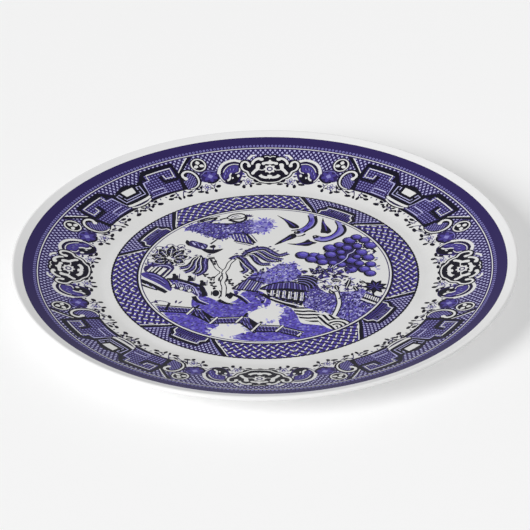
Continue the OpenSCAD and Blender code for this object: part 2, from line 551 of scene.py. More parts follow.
def peach(art):
    """Lobed fruit beside the medallion."""
    art.blob("navy", [(15.2, 110.2), (18, 111.9), (21.7, 111.8), (25.3, 110), (28, 106.4), (29, 101.5),
        (28.5, 97), (26.4, 94), (23, 92.9), (19.8, 93.6), (17.9, 95.3), (16.4, 98), (15.4, 101),
        (14.9, 105)])
    crown = curve([(15.6, 110.6), (18.4, 111.8), (21.6, 111.5), (24.8, 109.9), (27.2, 107),
        (28.6, 103.4)])
    for x, y in crown:
        art.oval("white", x, y, 1.0, 0.95, sides=9)
    art.line("ink", [(15.8, 109.2), (18.6, 110.2), (21.6, 109.9), (24.3, 108.2), (26.4, 105.4),
        (27.4, 102)], 0.8)
    art.line("white", [(28.5, 103.6), (28.5, 100.5), (27.6, 97), (25.6, 94.6)], 0.8, 0.5)
    art.line("white", [(16.8, 108.3), (19.4, 109), (22.2, 108.2), (24.6, 106), (26, 103.6)], 0.5)
    art.blob("blue", [(17.4, 107.4), (20, 108), (23, 106.6), (25.2, 104), (26.6, 101), (26.9, 98.4),
        (25.2, 98.6), (23.2, 101.2), (20.8, 102.6), (18.2, 103.4)])
    for x, y, a in ((18.8, 106, -60), (20.6, 106.4, -65), (22.4, 105.4, -70), (24, 103.6, -75),
            (25.2, 101.4, -80)):
        art.leaf("navy", x, y, a, 2.6, 0.8)
        art.leaf("wash", x + 0.7, y - 0.3, a, 2, 0.55)
    art.line("white", [(16.5, 105.6), (16.8, 103.6), (17.6, 102.3), (19.6, 101.7)], 0.8, 0.5)
    # dark bud with its white comma
    art.blob("ink", [(18.4, 100.6), (20.4, 101.7), (22.2, 100.8), (23, 98.8), (24.4, 97.2), (26.4, 97),
        (26.6, 95.2), (24.2, 93.5), (21, 93.7), (19, 95.4), (17.6, 98)])
    art.line("white", [(21.7, 102.3), (22.8, 100.6), (23, 98.6), (24.2, 97), (25.2, 96.9)], 0.8, 1.4)
    art.oval("white", 18.1, 99.6, 0.8, 1.1, 20)
    art.oval("white", 21.6, 98.2, 0.5, 0.8, 20)


def foliage(art):
    """Small leaves between the medallion and the peach."""
    art.leaf("blue", 14.2, 100.6, 20, 3.4, 2)
    art.leaf("wash", 14.2, 102.6, 30, 2.6, 1.4)
    art.leaf("navy", 13.4, 98.6, -5, 4, 1.4)
    art.leaf("white", 15.2, 96.6, 50, 2.6, 1.8)
    art.leaf("wash", 14, 100.2, 5, 2.6, 0.8)


def flower_ball(art, x, y):
    """Ball of petals, dark at its edge."""
    art.oval("navy", x, y, 5.1, 5.2, sides=20)
    for k in range(9):
        c, s = direction(40 * k + 10)
        art.oval("navy", x + 4.3 * c, y + 4.3 * s, 1.5, sides=9)
    art.line("ink", [(x - 4.6, y - 1), (x - 3.2, y - 3.8), (x, y - 5.4), (x + 3, y - 4.2)], 1.3, 1)
    for k in range(6):
        angle = 60 * k + 30
        c, s = direction(angle)
        art.leaf("blue", x + 0.6 * c, y + 0.6 * s, angle, 4, 2.3)
    art.oval("blue", x, y, 2.5, 2.5, 0, 10)
    art.fill("wash", [(x - 1.7, y), (x, y - 1.7), (x + 1.7, y), (x, y + 1.9)])
    art.line("wash", [(x - 3.6, y + 3), (x - 1, y + 4.4), (x + 2, y + 4.2), (x + 3.8, y + 2.6)], 0.4)


def roundel(art, x, y):
    """Upright ringed oval with three petals."""
    art.oval("ink", x, y, 4.6, 5.5, sides=20)
    art.oval("white", x, y, 4, 4.9, sides=20)
    art.oval("ink", x, y, 3.25, 4.15, sides=20)
    for a in (90, 210, 330):
        c, s = direction(a)
        art.leaf("white", x + 0.4 * c, y + 0.4 * s, a, 2.9, 2.2)


def divider_and_scroll(art):
    """Slanting line, and the scroll that ends the fret panel."""
    art.line("ink", [(39.8, 119.8), (50, 108.2)], 2.2)
    art.line("white", [(41.2, 119.6), (50.3, 109)], 0.6)
    art.blob("ink", [(44.4, 110.6), (41.6, 108.8), (39.8, 104.6), (39.9, 100), (41.6, 96.6), (44.4, 94.6),
        (49, 94.6), (52, 97), (52, 104), (50.6, 108), (48, 110.4)])
    inside = curve([(45.2, 107.6), (43, 105), (42.6, 101.4), (44.2, 97.8), (47.4, 96), (51.6, 96.4),
        (52, 104.4), (49.6, 102.6), (47.2, 103), (46.8, 105.2)], True)
    art.lattice(inside, (42, 95, 53, 109), (1.7, 1.9), (0.95, 1.1), "wash")
    art.line("white", [(47.9, 104.2), (48.7, 106), (48, 108), (45.8, 109.1), (43.4, 108.2), (41.8, 105.8),
        (41.2, 102.8), (41.6, 99.6), (43.2, 97), (45.8, 95.5), (48.6, 95.3)], 1.5, 0.7)
    art.oval("white", 47.8, 104, 1.15, 1.3)


def fret_panel(art):
    """G-shaped fret on a ground of small blocks."""
    panel = [(51, 105.5), (60, 105.5), (60.6, 114.5), (68.4, 114.5), (70.6, 110.6), (72.4, 110.6),
        (75.2, 97.4), (62.2, 97.6), (53.4, 96.6)]
    art.fill("ink", [(49.6, 108), (50.2, 95.6), (62, 96), (76.4, 95.6), (74, 112), (70.6, 112.6),
        (68, 118), (50.4, 117.6)])
    art.fill("navy", panel)
    with art.inside(panel, [(51.6, 115.4), (61, 115.4), (61, 108), (58.4, 107.2), (51.8, 106.6)]):
        art.fill("navy", [(50, 95), (76, 95), (76, 117), (50, 117)])
        pitch, block = 1.8, 0.9
        for i in range(13):
            for j in range(10):
                x, y = 52.4 + i * pitch, 97.7 + j * pitch
                art.box("wash", x, y, x + block, y + block)
    # thick bracket with its white line, then the hook
    art.line("ink", [(60, 111), (59.9, 106.3), (51.2, 106), (50.9, 116), (68.4, 116), (69, 109.4)], 2.1,
        steps=1)
    art.line("ink", [(68.6, 115.6), (73.4, 109)], 1.8)
    art.line("white", [(58.3, 110.8), (58, 108), (53.1, 107.8), (52.7, 114.3), (66.4, 114.4),
        (66.8, 110.4)], 0.7, steps=1)
    hook = [(66.9, 110.2), (70.6, 110), (73.8, 98.4), (62.8, 98.5), (62.8, 102.2), (70.6, 102.4)]
    art.line("navy", hook, 2, steps=1)
    art.line("pale", hook, 0.8, steps=1)
    art.line("ink", [(52, 104.9), (60.4, 104.9)], 0.8)


def middle_fret(art):
    """U-shaped fret with its white square over the boat-shaped arcs."""
    m = HALF
    art.blob("ink", [(m + 4, 113.4), (m - 5.4, 112.2), (m - 8, 110.6), (m - 10.4, 111.6), (m - 9.4, 104),
        (m - 7.6, 100.2), (m - 3, 99.4), (m + 4, 99)], steps=2)
    art.fill("white", [(m - 3.9, 110.4), (m + 2, 110.6), (m + 2, 106.2), (m - 3.2, 106.2)])
    art.line("pale", [(m - 5.6, 107.4), (m - 5.8, 109.6), (m - 7.9, 109.4), (m - 7, 102.7),
        (m + 2, 102.4)], 0.6, steps=1)
    art.line("pale", [(m - 5.4, 106), (m - 5.2, 104.2), (m + 2, 104)], 0.5, steps=1)
    # boat
    art.blob("ink", [(m - 9.6, 100.6), (m - 6.4, 97), (m - 2.6, 95.2), (m + 3, 94.8), (m + 3, 100.6)],
        steps=2)
    art.line("white", [(m - 8.2, 99.9), (m - 5, 99.2), (m + 1, 98.9)], 1.7)
    art.line("navy", [(m - 8.6, 99.4), (m - 5.6, 97.7), (m + 1, 97.2)], 0.55)
    art.line("white", [(m - 7.2, 98), (m - 4, 96.7), (m + 1, 96.2)], 0.9)


def sprigs(art):
    """Little flowers, stems and berries along the inner edge."""
    for x, y in ((13, 94.2), (38.6, 93.7)):
        for a in range(20, 380, 72):
            art.leaf("blue", x, y, a, 2.9, 2.1)
        for a in range(20, 380, 72):
            c, s = direction(a)
            art.leaf("white", x + 0.4 * c, y + 0.4 * s, a, 2, 1.2)
        art.oval("navy", x, y, 1.1, sides=10)
        art.oval("wash", x, y, 0.6, sides=8)
    stems = (
        ((8.8, 93), (10.6, 92.2), (12, 93)),
        ((12.6, 92.4), (11.9, 91)),
        ((13.6, 92.4), (15.2, 91.4), (16.2, 92)),
        ((16.4, 95.6), (17.2, 93.6), (19, 92.4)),
        ((15, 96), (16.6, 95.4), (17.6, 95)),
        ((32.6, 95.6), (34.4, 93.6), (34.2, 90.6)),
        ((35.6, 96), (34.6, 94.4), (32.6, 93.2)),
        ((38.8, 92), (40.2, 90.4)),
        ((41, 96.4), (41.6, 94.8), (43.4, 91.8)),
        ((44, 94.8), (47.6, 93), (51.4, 90.8)),
        ((52.4, 96.6), (54.6, 93.6), (56.2, 90.8)),
        ((53.4, 95.6), (51.6, 93.4), (49.4, 93.2)),
        ((58.6, 96.2), (58.4, 93.2), (58.8, 91.4)),
        ((57.6, 94), (60.4, 92.6), (63.6, 92.2)),
        ((58.8, 95), (60.6, 94.8), (62.2, 94.6)),
        ((76, 96.4), (74, 93.6), (71.8, 92)),
        ((76.6, 96), (75.2, 95.2), (73, 94.8)),
        ((HALF, 94.6), (HALF - 1.4, 93), (HALF - 3.6, 92.4)),
        ((HALF, 94.6), (HALF - 0.6, 92), (HALF, 90.6)),
    )
    art.lines("navy", stems, 0.62)
    berries = ((6.6, 91.7, 1.7, 0.75, 5), (8.2, 94.4, 1.5, 0.9, 30), (11.5, 90.6, 0.75, 1.15, 10),
        (16.1, 90.2, 1, 1.2, 0), (20.1, 92.3, 1.8, 0.75, 5), (17.6, 94.7, 1.3, 0.8, -30),
        (10.4, 92.6, 1, 0.5, 20), (31.6, 93.1, 1.5, 1, -20), (34.3, 89.9, 0.9, 1.2, 10),
        (40.6, 89.7, 0.95, 1.15, -20), (42.3, 94.6, 1.1, 0.7, -40), (43.8, 91.2, 1.8, 0.8, 10),
        (45, 93.9, 1.3, 0.6, 30), (36, 92.4, 0.9, 0.5, 40), (51.9, 90.4, 1.8, 0.9, 10),
        (55.9, 90.5, 1.2, 0.65, -55), (58.9, 90.6, 0.8, 1.3, 0), (62, 94.4, 1.6, 0.8, -10),
        (64.2, 92.1, 1.5, 0.85, 10), (50, 93.2, 1.6, 0.6, -15), (60.8, 92.2, 1, 0.5, 20),
        (72.6, 91.5, 1.8, 0.9, 5), (74, 94.6, 1.3, 0.7, -20), (76.2, 93.2, 1.1, 0.55, 30),
        (78, 92.2, 1.6, 0.7, -30), (79.2, 94.2, 1.2, 0.6, -40), (HALF, 90.6, 0.8, 1.3, 0))
    for x, y, length, width, turn in berries:
        art.oval("ink", x, y, 1.2 * length, 1.25 * width, turn, 9)
    # small leaves at the feet of the panels
    for x, y, a in ((30.6, 97.2, 200), (44.6, 94.2, 215), (66.4, 95.6, 250), (69.8, 95.6, 290),
            (53.6, 95.4, 250)):
        art.leaf("navy", x, y, a, 1.8, 0.9)


def border_art():
    """Half a unit of the rim border."""
    art = Art()
    ground = [(-3, 119.6), (HALF + 3, 119.6), (HALF + 3, 104), (73, 104), (50, 104), (42, 104),
        (40.4, 99), (36, 97), (31, 98), (29, 101), (16, 103), (-3, 108)]
    art.lattice(ground, (-3.6, 94.9, HALF + 3, 121), (2.4, 3.6), (1.15, 1.9), "pale")
    foliage(art)
    sprigs(art)
    flower_ball(art, 34, 101.8)
    peach(art)
    medallion(art)
    divider_and_scroll(art)
    roundel(art, 37.7, 111.9)
    fret_panel(art)
    middle_fret(art)
    return art


def bead_art():
    """A row of ringed beads beside a light line, for half a unit."""
    art = Art()
    art.box("navy", -2, BORDER_R - 1, HALF + 2, BEAD_R + 1)
    art.box("white", -2, BORDER_R + 0.8, HALF + 2, BORDER_R + 1.3)
    pitch = HALF / BEADS
    for i in range(-1, BEADS + 1):
        x = (i + 0.5) * pitch
        art.oval("wash", x, BEAD_R - 1.35, 0.56, 0.76, sides=10)
        art.oval("navy", x, BEAD_R - 1.35, 0.26, 0.36, sides=6)
    return art


# ---- well border: half a unit, from the cartouche to the middle of the diaper --
DIAPER_PITCH = (4.8, 4.2)
EDGE_PITCH = 2.4
# slanting line between the trellis and the diaper
DIVIDER = [(12.4, 66), (14.6, 69.4), (20.4, 75.4), (25.4, 82)]


def diaper(art):
    """Small square flowers between slanting dashes, in rows that are half a pitch apart."""
    dx, dy = DIAPER_PITCH
    field = [*DIVIDER, (WELL_HALF + 3, 82), (WELL_HALF + 3, 66)]
    art.fill("navy", field)
    with art.inside(field):
        for i in range(int((WELL_HALF - 9) / (dx / 2)) + 1):
            x = WELL_HALF - i * dx / 2
            for j in range(5):
                y = 65.8 + (j + (i % 2) / 2) * dy
                square_flower(art, x, y, 1 - 2 * (i % 2))


def square_flower(art, x, y, lean):
    """White dash that leans one way (1 or -1), and beside it a dark heart in a blue lozenge."""
    w, h = DIAPER_PITCH[0] / 2, DIAPER_PITCH[1] / 2
    rise = 0.4 * h * lean
    art.line("white", [(x - 0.9 * w, y + 0.5 * h - rise), (x - 0.1 * w, y + 0.5 * h + rise)], 0.78,
        steps=1)
    for tone, share in (("sky", 0.46), ("ink", 0.16)):
        art.fill(tone, [(x - w * share, y), (x, y - h * share), (x + w * share, y), (x, y + h * share)])


def cartouche(art):
    """Dark bracket with a hatched panel inside and a trellis outside."""
    trellis = [(-3, 82), *DIVIDER[::-1], (-3, 66)]
    art.lattice(trellis, (-3.2, 66, 26, 83), (2.3, 3.1), (1.1, 1.7), "pale")
    art.line("ink", [(-3, 76.4), (8.6, 76.3), (9, 73.2), (11.6, 71), (11.9, 66)], 2.1, steps=1)
    panel = [(-3, 74.8), (7, 74.8), (7.4, 72.2), (9.8, 70.8), (10.2, 66), (-3, 66)]
    art.fill("navy", panel)
    with art.inside(panel):
        for i in range(9):
            x = -1.2 + 1.35 * i
            art.line("wash", [(x, 74), (x + 0.3, 71)], 0.32, 0.2)
            art.line("sky", [(x + 0.5, 70.2), (x + 1.2, 67)], 0.3)
        art.line("ink", [(-3, 69.3), (11, 69)], 0.5)
    art.line("white", [(-3, 75), (7.4, 74.9), (7.8, 72.3), (10.2, 70.9), (10.5, 66)], 0.75, steps=1)
    art.oval("ink", 4.2, 72.6, 0.9, 0.6, sides=8)


def divider(art):
    """Dark slanting line with a light line on each side."""
    art.line("ink", DIVIDER, 2.3, 2.1, steps=1)
    art.line("white", [(x + 1.0, y - 0.55) for x, y in DIVIDER], 0.55, steps=1)
    art.line("wash", [(x - 1.5, y + 0.8) for x, y in DIVIDER], 0.35, steps=1)


def well_art():
    """Half a unit of the band on the flat of the plate, round the scene."""
    art = Art()
    diaper(art)
    cartouche(art)
    divider(art)
    art.line("ink", [(-2, RING_R + 0.45), (WELL_HALF + 2, RING_R + 0.45)], 0.9)
    scallops = range(-1, int(WELL_HALF / EDGE_PITCH) + 2)
    for i in scallops:
        art.oval("ink", EDGE_PITCH * i, WELL_BORDER_R - 0.5, 1.5, 0.62, sides=8)
    for i in scallops:
        art.oval("white", EDGE_PITCH * i + 1.2, WELL_BORDER_R + 0.25, 0.9, 0.45, sides=8)
    return art


def ring_art():
    """Dark line round the scene, with its white margin."""
    art = Art()
    art.box("navy", -2, SCENE_R - 1, WELL_HALF + 2, SCENE_R + 0.6)
    art.box("navy", -2, RING_R - 0.1, WELL_HALF + 2, RING_R + 1)
    return art


# ---- centre scene ------------------------------------------------------------
def within(points, x, y):
    """True if a point lies inside an outline."""
    inside = False
    for (ax, ay), (bx, by) in zip(points, points[1:] + points[:1]):
        if (ay > y) != (by > y) and x < ax + (y - ay) / (by - ay) * (bx - ax):
            inside = not inside
    return inside


def scatter(rng, region, pitch):
    """Places spread at random over a region, about a pitch apart."""
    xs, ys = zip(*region)
    columns = int((max(xs) - min(xs)) / pitch) + 1
    rows = int((max(ys) - min(ys)) / pitch) + 1
    for i in range(columns):
        for j in range(rows):
            x = min(xs) + (i + rng.random()) * pitch
            y = min(ys) + (j + rng.random()) * pitch
            if within(region, x, y):
                yield x, y


def stipple(art, rng, region, pitch, tones, size):
    """Small dabs over a region."""
    for x, y in scatter(rng, region, pitch):
        art.oval(rng.choice(tones), x, y, rng.uniform(*size), rng.uniform(*size) * 0.7,
            rng.uniform(0, 180), 5)


def dashes(art, rng, region, pitch, tones, angle, length, width):
    """Short strokes over a region, all about one way."""
    for x, y in scatter(rng, region, pitch):
        turn = angle + rng.uniform(-18, 18)
        art.oval(rng.choice(tones), x, y, rng.uniform(*length) / 2, rng.uniform(*width) / 2, turn, 4)


def leaves(art, rng, region, pitch, tones, length=(1.6, 2.8), width=(0.8, 1.3)):
    """Small leaves over a region, every way round."""
    for x, y in scatter(rng, region, pitch):
        art.leaf(rng.choice(tones), x, y, rng.uniform(0, 360), rng.uniform(*length), rng.uniform(*width))


def fringe(art, rng, outline, tones, length, width):
    """Leaves that stick out of an outline, so that foliage has a ragged edge."""
    for (ax, ay), (bx, by) in zip(outline, outline[1:] + outline[:1]):
        way = math.degrees(math.atan2(by - ay, bx - ax))
        count = max(1, round(math.hypot(bx - ax, by - ay) / (1.1 * width)))
        for i in range(count):
            x, y = ax + (bx - ax) * i / count, ay + (by - ay) * i / count
            turn = way + rng.choice((-90, 90)) + rng.uniform(-35, 35)
            art.leaf(rng.choice(tones), x, y, turn, length * rng.uniform(0.6, 1.2), width)


def distant_shore(art, rng):
    """Island at the top: a slope of foliage, a tree, rocks and a boulder."""
    slope = curve([(-43, 46), (-40, 50.5), (-35, 53), (-27, 52.5), (-18, 52), (-12, 53), (-8, 55.5),
        (-5, 53), (-5, 47), (-2, 42.5), (-7, 40.5), (-12, 41.5), (-20, 37), (-24, 35), (-28, 37.5),
        (-33, 40.5), (-38, 44)], True)
    art.fill("blue", slope)
    with art.inside(slope):
        stipple(art, rng, slope, 1.9, ("sky", "wash", "pale", "wash"), (0.6, 1.1))
        dashes(art, rng, slope, 1.4, ("navy", "ink", "navy", "navy", "wash"), 60, (1.4, 2.6), (0.5, 0.8))
    fringe(art, rng, slope, ("navy", "blue", "wash"), 2, 0.9)
    tree = curve([(-4, 43), (-6, 48), (-4, 53), (0, 56), (3, 54), (5, 49.6), (3.6, 45), (0, 42)], True)
    art.fill("wash", tree)
    leaves(art, rng, tree, 1.6, ("sky", "wash", "pale", "sky", "blue"))
    fringe(art, rng, tree, ("wash", "sky", "pale"), 2.6, 1)
    art.lines("ink", (((-35, 55), (-31, 57), (-27, 58)), ((-36, 53.5), (-30, 56), (-24, 59.5)),
        ((-24, 56), (-20, 57.6), (-17, 60.5)), ((-27, 52), (-21, 51.2), (-15, 51.5))), 1.3, 0.9)
    art.line("ink", [(-29.5, 53), (-27.8, 55), (-25.5, 57.5)], 2.2, 1.4)
    art.lines("blue", (((-33, 53), (-28, 54.6), (-23, 55)), ((-31, 51), (-26, 50.6), (-21, 52))), 1.1,
        0.6)
    art.blob("ink", [(-20.6, 57), (-17.4, 61.4), (-12, 62.2), (-9.2, 59.2), (-11.4, 56.4), (-16, 55.6)])
    art.blob("white", [(-19.6, 57.2), (-16.9, 60.5), (-12.3, 61.1), (-10.4, 59), (-12.4, 57.2),
        (-16, 56.8)])
    art.line("ink", [(-19, 55.6), (-14, 52.8), (-10.4, 55), (-9.3, 59.2)], 2.2, 1.2)
    art.lines("navy", (((-18, 58), (-16, 59.6), (-13.6, 60)), ((-16.4, 57.6), (-14.6, 58.4),
        (-12.4, 58.6))), 0.7, 0.4)
    for angle in (20, 50, 80, 110):
        art.leaf("navy", -8.4, 58.2, angle, 3.2, 1)


def pagoda(art):
    """Roof of the small house on the far shore."""
    art.blob("blue", [(-18, 40), (-12, 42.6), (-9, 40.6), (-5.4, 31), (-8, 30), (-15.6, 33.4)], 2)
    with art.inside([(-18.4, 40.4), (-9.4, 41), (-5.2, 30.6), (-16.6, 33.2)]):
        for i in range(7):
            art.line("white", [(-17 + 1.7 * i, 41.4), (-14.8 + 1.7 * i, 30)], 0.4)
    art.lines("ink", (((-19.6, 40.3), (-15, 40.9), (-10.5, 40.1)), ((-12.2, 43.2), (-11, 41.6),
        (-9.8, 40.8))), 1.1, 0.8)
    art.line("ink", [(-9.7, 40.8), (-7.4, 36.2), (-5.2, 30.8)], 1.9)
    art.line("white", [(-8.3, 40), (-6.3, 36), (-4.5, 32)], 0.5)
    art.line("navy", [(-7, 39.4), (-5.6, 36.6), (-3.9, 32.6)], 0.6)
    art.lines("navy", (((-13, 38.6), (-14.6, 36), (-16.2, 33.4)), ((-11, 37.6), (-9.6, 34), (-8, 30.4))),
        0.8)
    art.line("ink", [(-16.4, 33.6), (-11, 31.8), (-5.8, 29.4)], 1.1)
    art.line("navy", [(-15.4, 31.8), (-11, 30), (-7.4, 28.4)], 0.6)


def sampan(art):
    """Boat with its cargo, mast and boatman."""
    art.blob("ink", [(-41.4, 35.4), (-40.2, 33.6), (-38.8, 31), (-38.6, 29), (-41, 29.6), (-42.4, 32.4),
        (-42.2, 34.6)], 2)
    art.blob("navy", [(-40.4, 33.6), (-38.6, 34.8), (-36, 33.4), (-33, 31.8), (-30.4, 30), (-30.8, 27),
        (-32.6, 25), (-35, 25.8), (-38, 27.8), (-40, 29.6)], 2)
    art.lines("pale", (((-38.6, 32.8), (-37, 30)), ((-33.8, 28.8), (-32.6, 26.4))), 1)
    art.lines("wash", (((-35.8, 31), (-34.8, 28.2)), ((-37.4, 33.2), (-35.6, 31.8)), ((-32.6, 30.6),
        (-31.4, 28.4))), 0.6)
    art.blob("ink", [(-34, 26), (-29, 25.4), (-26.4, 25.2), (-24, 25.6), (-22, 25.6), (-24.6, 22.8),
        (-27.8, 20.8), (-31, 22)])
    art.line("ink", [(-29, 30.8), (-27.6, 32.6), (-25.2, 35.8)], 1.3, 0.7)
    art.blob("ink", [(-29.4, 28.4), (-27.2, 30), (-26, 28.2), (-27, 26.6), (-29, 27)], 2)
    art.line("navy", [(-27.4, 27), (-27.4, 24.6)], 0.8)
    art.lines("wash", (((-24.8, 29), (-23.2, 28.4)), ((-24.4, 27.2), (-23.6, 26.6))), 0.6)


def oak_leaves(art, rng):
    """Big dark leaves of the tree at the left."""
    under = curve([(-62, 17), (-57, 16), (-52, 12), (-47.6, 10.6), (-50, 7.6), (-56, 8), (-62, 10)], True)
    art.fill("blue", under)
    with art.inside(under):
        leaves(art, rng, under, 1.7, ("navy", "wash", "ink", "white", "sky"))
    fringe(art, rng, under, ("navy", "blue"), 2, 1)
    ruffle = [(-60.4, 15), (-61.4, 18), (-59, 19.6), (-60, 23), (-57, 24.4), (-56.4, 27.6), (-53, 26.8),
        (-50.4, 29.6), (-48.2, 27.6), (-44.6, 29), (-44.2, 25.4), (-41.4, 23.6), (-43.4, 20.8),
        (-41.6, 17.4), (-44.4, 15.6), (-44.6, 12), (-47.6, 11.4)]
    for tone, r in (("navy", 2.3), ("white", 1.7)):
        for x, y in ruffle:
            art.oval(tone, x, y, r, 0.9 * r, sides=10)
    leaves(art, rng, ruffle, 1.7, ("navy", "blue", "ink", "navy"), (1.8, 3), (0.9, 1.4))
    for x, y, angle, length in ((-52.6, 17, 155, 8), (-51.6, 18, 118, 9), (-50.4, 18.4, 84, 11),
            (-49, 17.6, 52, 9), (-48, 17, 14, 6.4), (-48.6, 15.6, -32, 5.6), (-52.4, 15.6, -160, 6),
            (-51, 14.8, -90, 5)):
        art.leaf("white", x, y, angle, length + 1.4, 6)
        art.leaf("ink", x, y, angle, length + 1, 5.5)
        c, s = direction(angle)
        art.line("white", [(x + 1.2 * c, y + 1.2 * s), (x + (length - 1.6) * c, y + (length - 1.6) * s)],
            0.55, 0.35)
        for share in (0.4, 0.62):
            px, py = x + length * share * c, y + length * share * s
            for turn in (-50, 50):
                art.leaf("wash", px, py, angle + turn, 1.9, 0.4)


def arcade(art):
    """Slanting white columns at the left, between dark lines and under a dark eave."""
    art.blob("navy", [(-63.6, 9.8), (-57, 11.4), (-50, 10.6), (-48, 7.6), (-48.8, 4.4), (-53.4, -3),
        (-58, 0), (-63.8, 4)], 2)
    columns = (
        ((-62.2, 4.2), (-59.6, 8.6), 1.3),
        ((-60.2, 4), (-57.4, 8.8), 1),
        ((-58.6, 2.6), (-55.2, 8.6), 0.8),
        ((-56.6, 0.6), (-52.8, 7.2), 2.2),
        ((-53.8, -1.4), (-50, 5.8), 0.9),
    )
    for foot, top, width in columns:
        art.layers([foot, top], ("ink", width + 1.1), ("white", width))
    art.line("pale", [(-58.6, 8.6), (-55, 9.8), (-51.4, 9.2), (-49.6, 6.4)], 0.6)


def bold_roofs(art):
    """Bright slanting roofs at the left edge, over dark terraces."""
    art.blob("blue", [(-65, 3), (-60, 3.4), (-56, 0), (-52, -4), (-50.3, -8), (-49, -13), (-50, -15.4),
        (-53, -12.4), (-58, -8), (-62, -3.6), (-65, 0)])
    art.line("ink", [(-62, 3.4), (-58.4, 2.4), (-54, -2), (-51, -6), (-49.4, -12.6)], 0.9)
    art.lines("navy", (((-63, 1.2), (-58, -1), (-53.4, -6.4)), ((-62, -1), (-57, -4.2), (-52.4, -9.6))),
        0.8)
    art.lines("wash", (((-61.4, 2), (-57.6, 0.2), (-54, -3.4)), ((-60, -1.6), (-56.2, -4),
        (-52.6, -8.2))), 0.6)
    art.line("ink", [(-66, -4.2), (-61, -8.2), (-56, -12.8), (-51.6, -16.6)], 3)
    art.line("white", [(-65, -1.2), (-60.4, -5), (-55.6, -9.6), (-50.8, -15.8)], 0.9)
    art.line("ink", [(-65.6, -8.4), (-61, -11.8), (-56.6, -14.4)], 1.6, 0.9)
    art.lines("pale", (((-62.8, -8.2), (-61.2, -10)), ((-59.6, -10.6), (-57.8, -13))), 0.6)
    art.line("navy", [(-59.6, -26.6), (-55, -24.8), (-50, -27)], 0.9, 0.4)


def bridge(art, rng):
    """Dark humped bridge with small arches and the people who cross it."""
    deck = [(-51.5, -3.6), (-46.6, -3.4), (-41, -5.6), (-36, -8.6), (-32.6, -11), (-31, -16),
        (-30.2, -21), (-35.4, -21.4), (-38.6, -17.6), (-42, -16.6), (-44.4, -14.6), (-47.6, -13.6),
        (-49, -8)]
    art.blob("navy", deck, 2)
    with art.inside(curve(deck, True, 2)):
        stipple(art, rng, deck, 1.4, ("navy", "wash", "sky", "ink", "pale"), (0.4, 0.8))
        for i in range(9):
            x, y = -47.2 + 1.3 * i, -7.4 - 0.85 * i
            art.layers([(x, y), (x + 1.2, y - 4.4)], ("ink", 1), ("pale", 0.45))
    art.line("ink", [(-52, -3.6), (-46.4, -4), (-41.6, -6.8), (-37.4, -9.8), (-33.6, -11.6)], 1.9)
    art.line("pale", [(-46, -6.6), (-41.4, -8.8), (-38, -11.4), (-35.8, -16), (-34.8, -20.6)], 0.5)
    for x, y in ((-48.3, -10.6), (-44, -13.2), (-39.8, -15.4)):
        art.oval("ink", x, y, 1.5, 2, -20)
        art.oval("white", x, y, 0.9, 1.4, -20)
    art.line("ink", [(-33.8, -11.6), (-32.6, -16), (-31.6, -21)], 2, 2.8)
    for x, y in ((-47.4, -1.4), (-39.2, -3.6), (-32.8, -8.4)):
        walker(art, x, y)


def walker(art, x, y):
    """Small figure in a robe, with a staff."""
    art.fill("ink", [(x - 1.9, y - 2.6), (x + 1.9, y - 2.6), (x + 1.3, y + 1.4), (x - 1.3, y + 1.4)])
    art.oval("ink", x - 0.6, y + 2, 1.1, sides=9)
    art.lines("navy", (((x + 0.4, y + 0.8), (x + 2.2, y + 0.2)), ((x + 2.3, y + 2.8),
        (x + 2.1, y - 2.2))), 0.5)


# middle lines of the willow's fronds, from the crown down
WILLOW = (
    ((-33, 18), (-36.5, 16), (-38.5, 12), (-41, 8.5), (-44.8, 7.2)),
    ((-33, 17.5), (-36, 14), (-37.3, 9), (-39.5, 5), (-42, 3.2)),
    ((-32.5, 17), (-34.3, 12), (-34.5, 7), (-36.3, 2.5), (-37, 1.5)),
    ((-31.5, 17), (-32, 12), (-31.8, 6), (-33.5, 2), (-36, 0)),
    ((-18, 14.5), (-14.5, 17.5), (-12, 14), (-11.5, 9), (-10, 4), (-12, 1.5)),
    ((-14, 18), (-11.5, 15), (-9, 9.5), (-6, 4.5), (-5.5, 3)),
    ((-12, 19), (-8, 20), (-6, 17), (-4, 12), (-1.5, 9.5), (2.5, 9.5)),
    ((-11, 20.5), (-6, 22), (-3, 19), (0, 15), (3, 12.8), (8.5, 13)),
    ((-10, 22), (-5, 24), (-1, 22), (2, 18), (5, 15.5), (9, 13.5)),
    ((-8, 23.5), (-2, 25.5), (1, 24.5), (5, 20), (8, 18), (12.3, 20)),
)


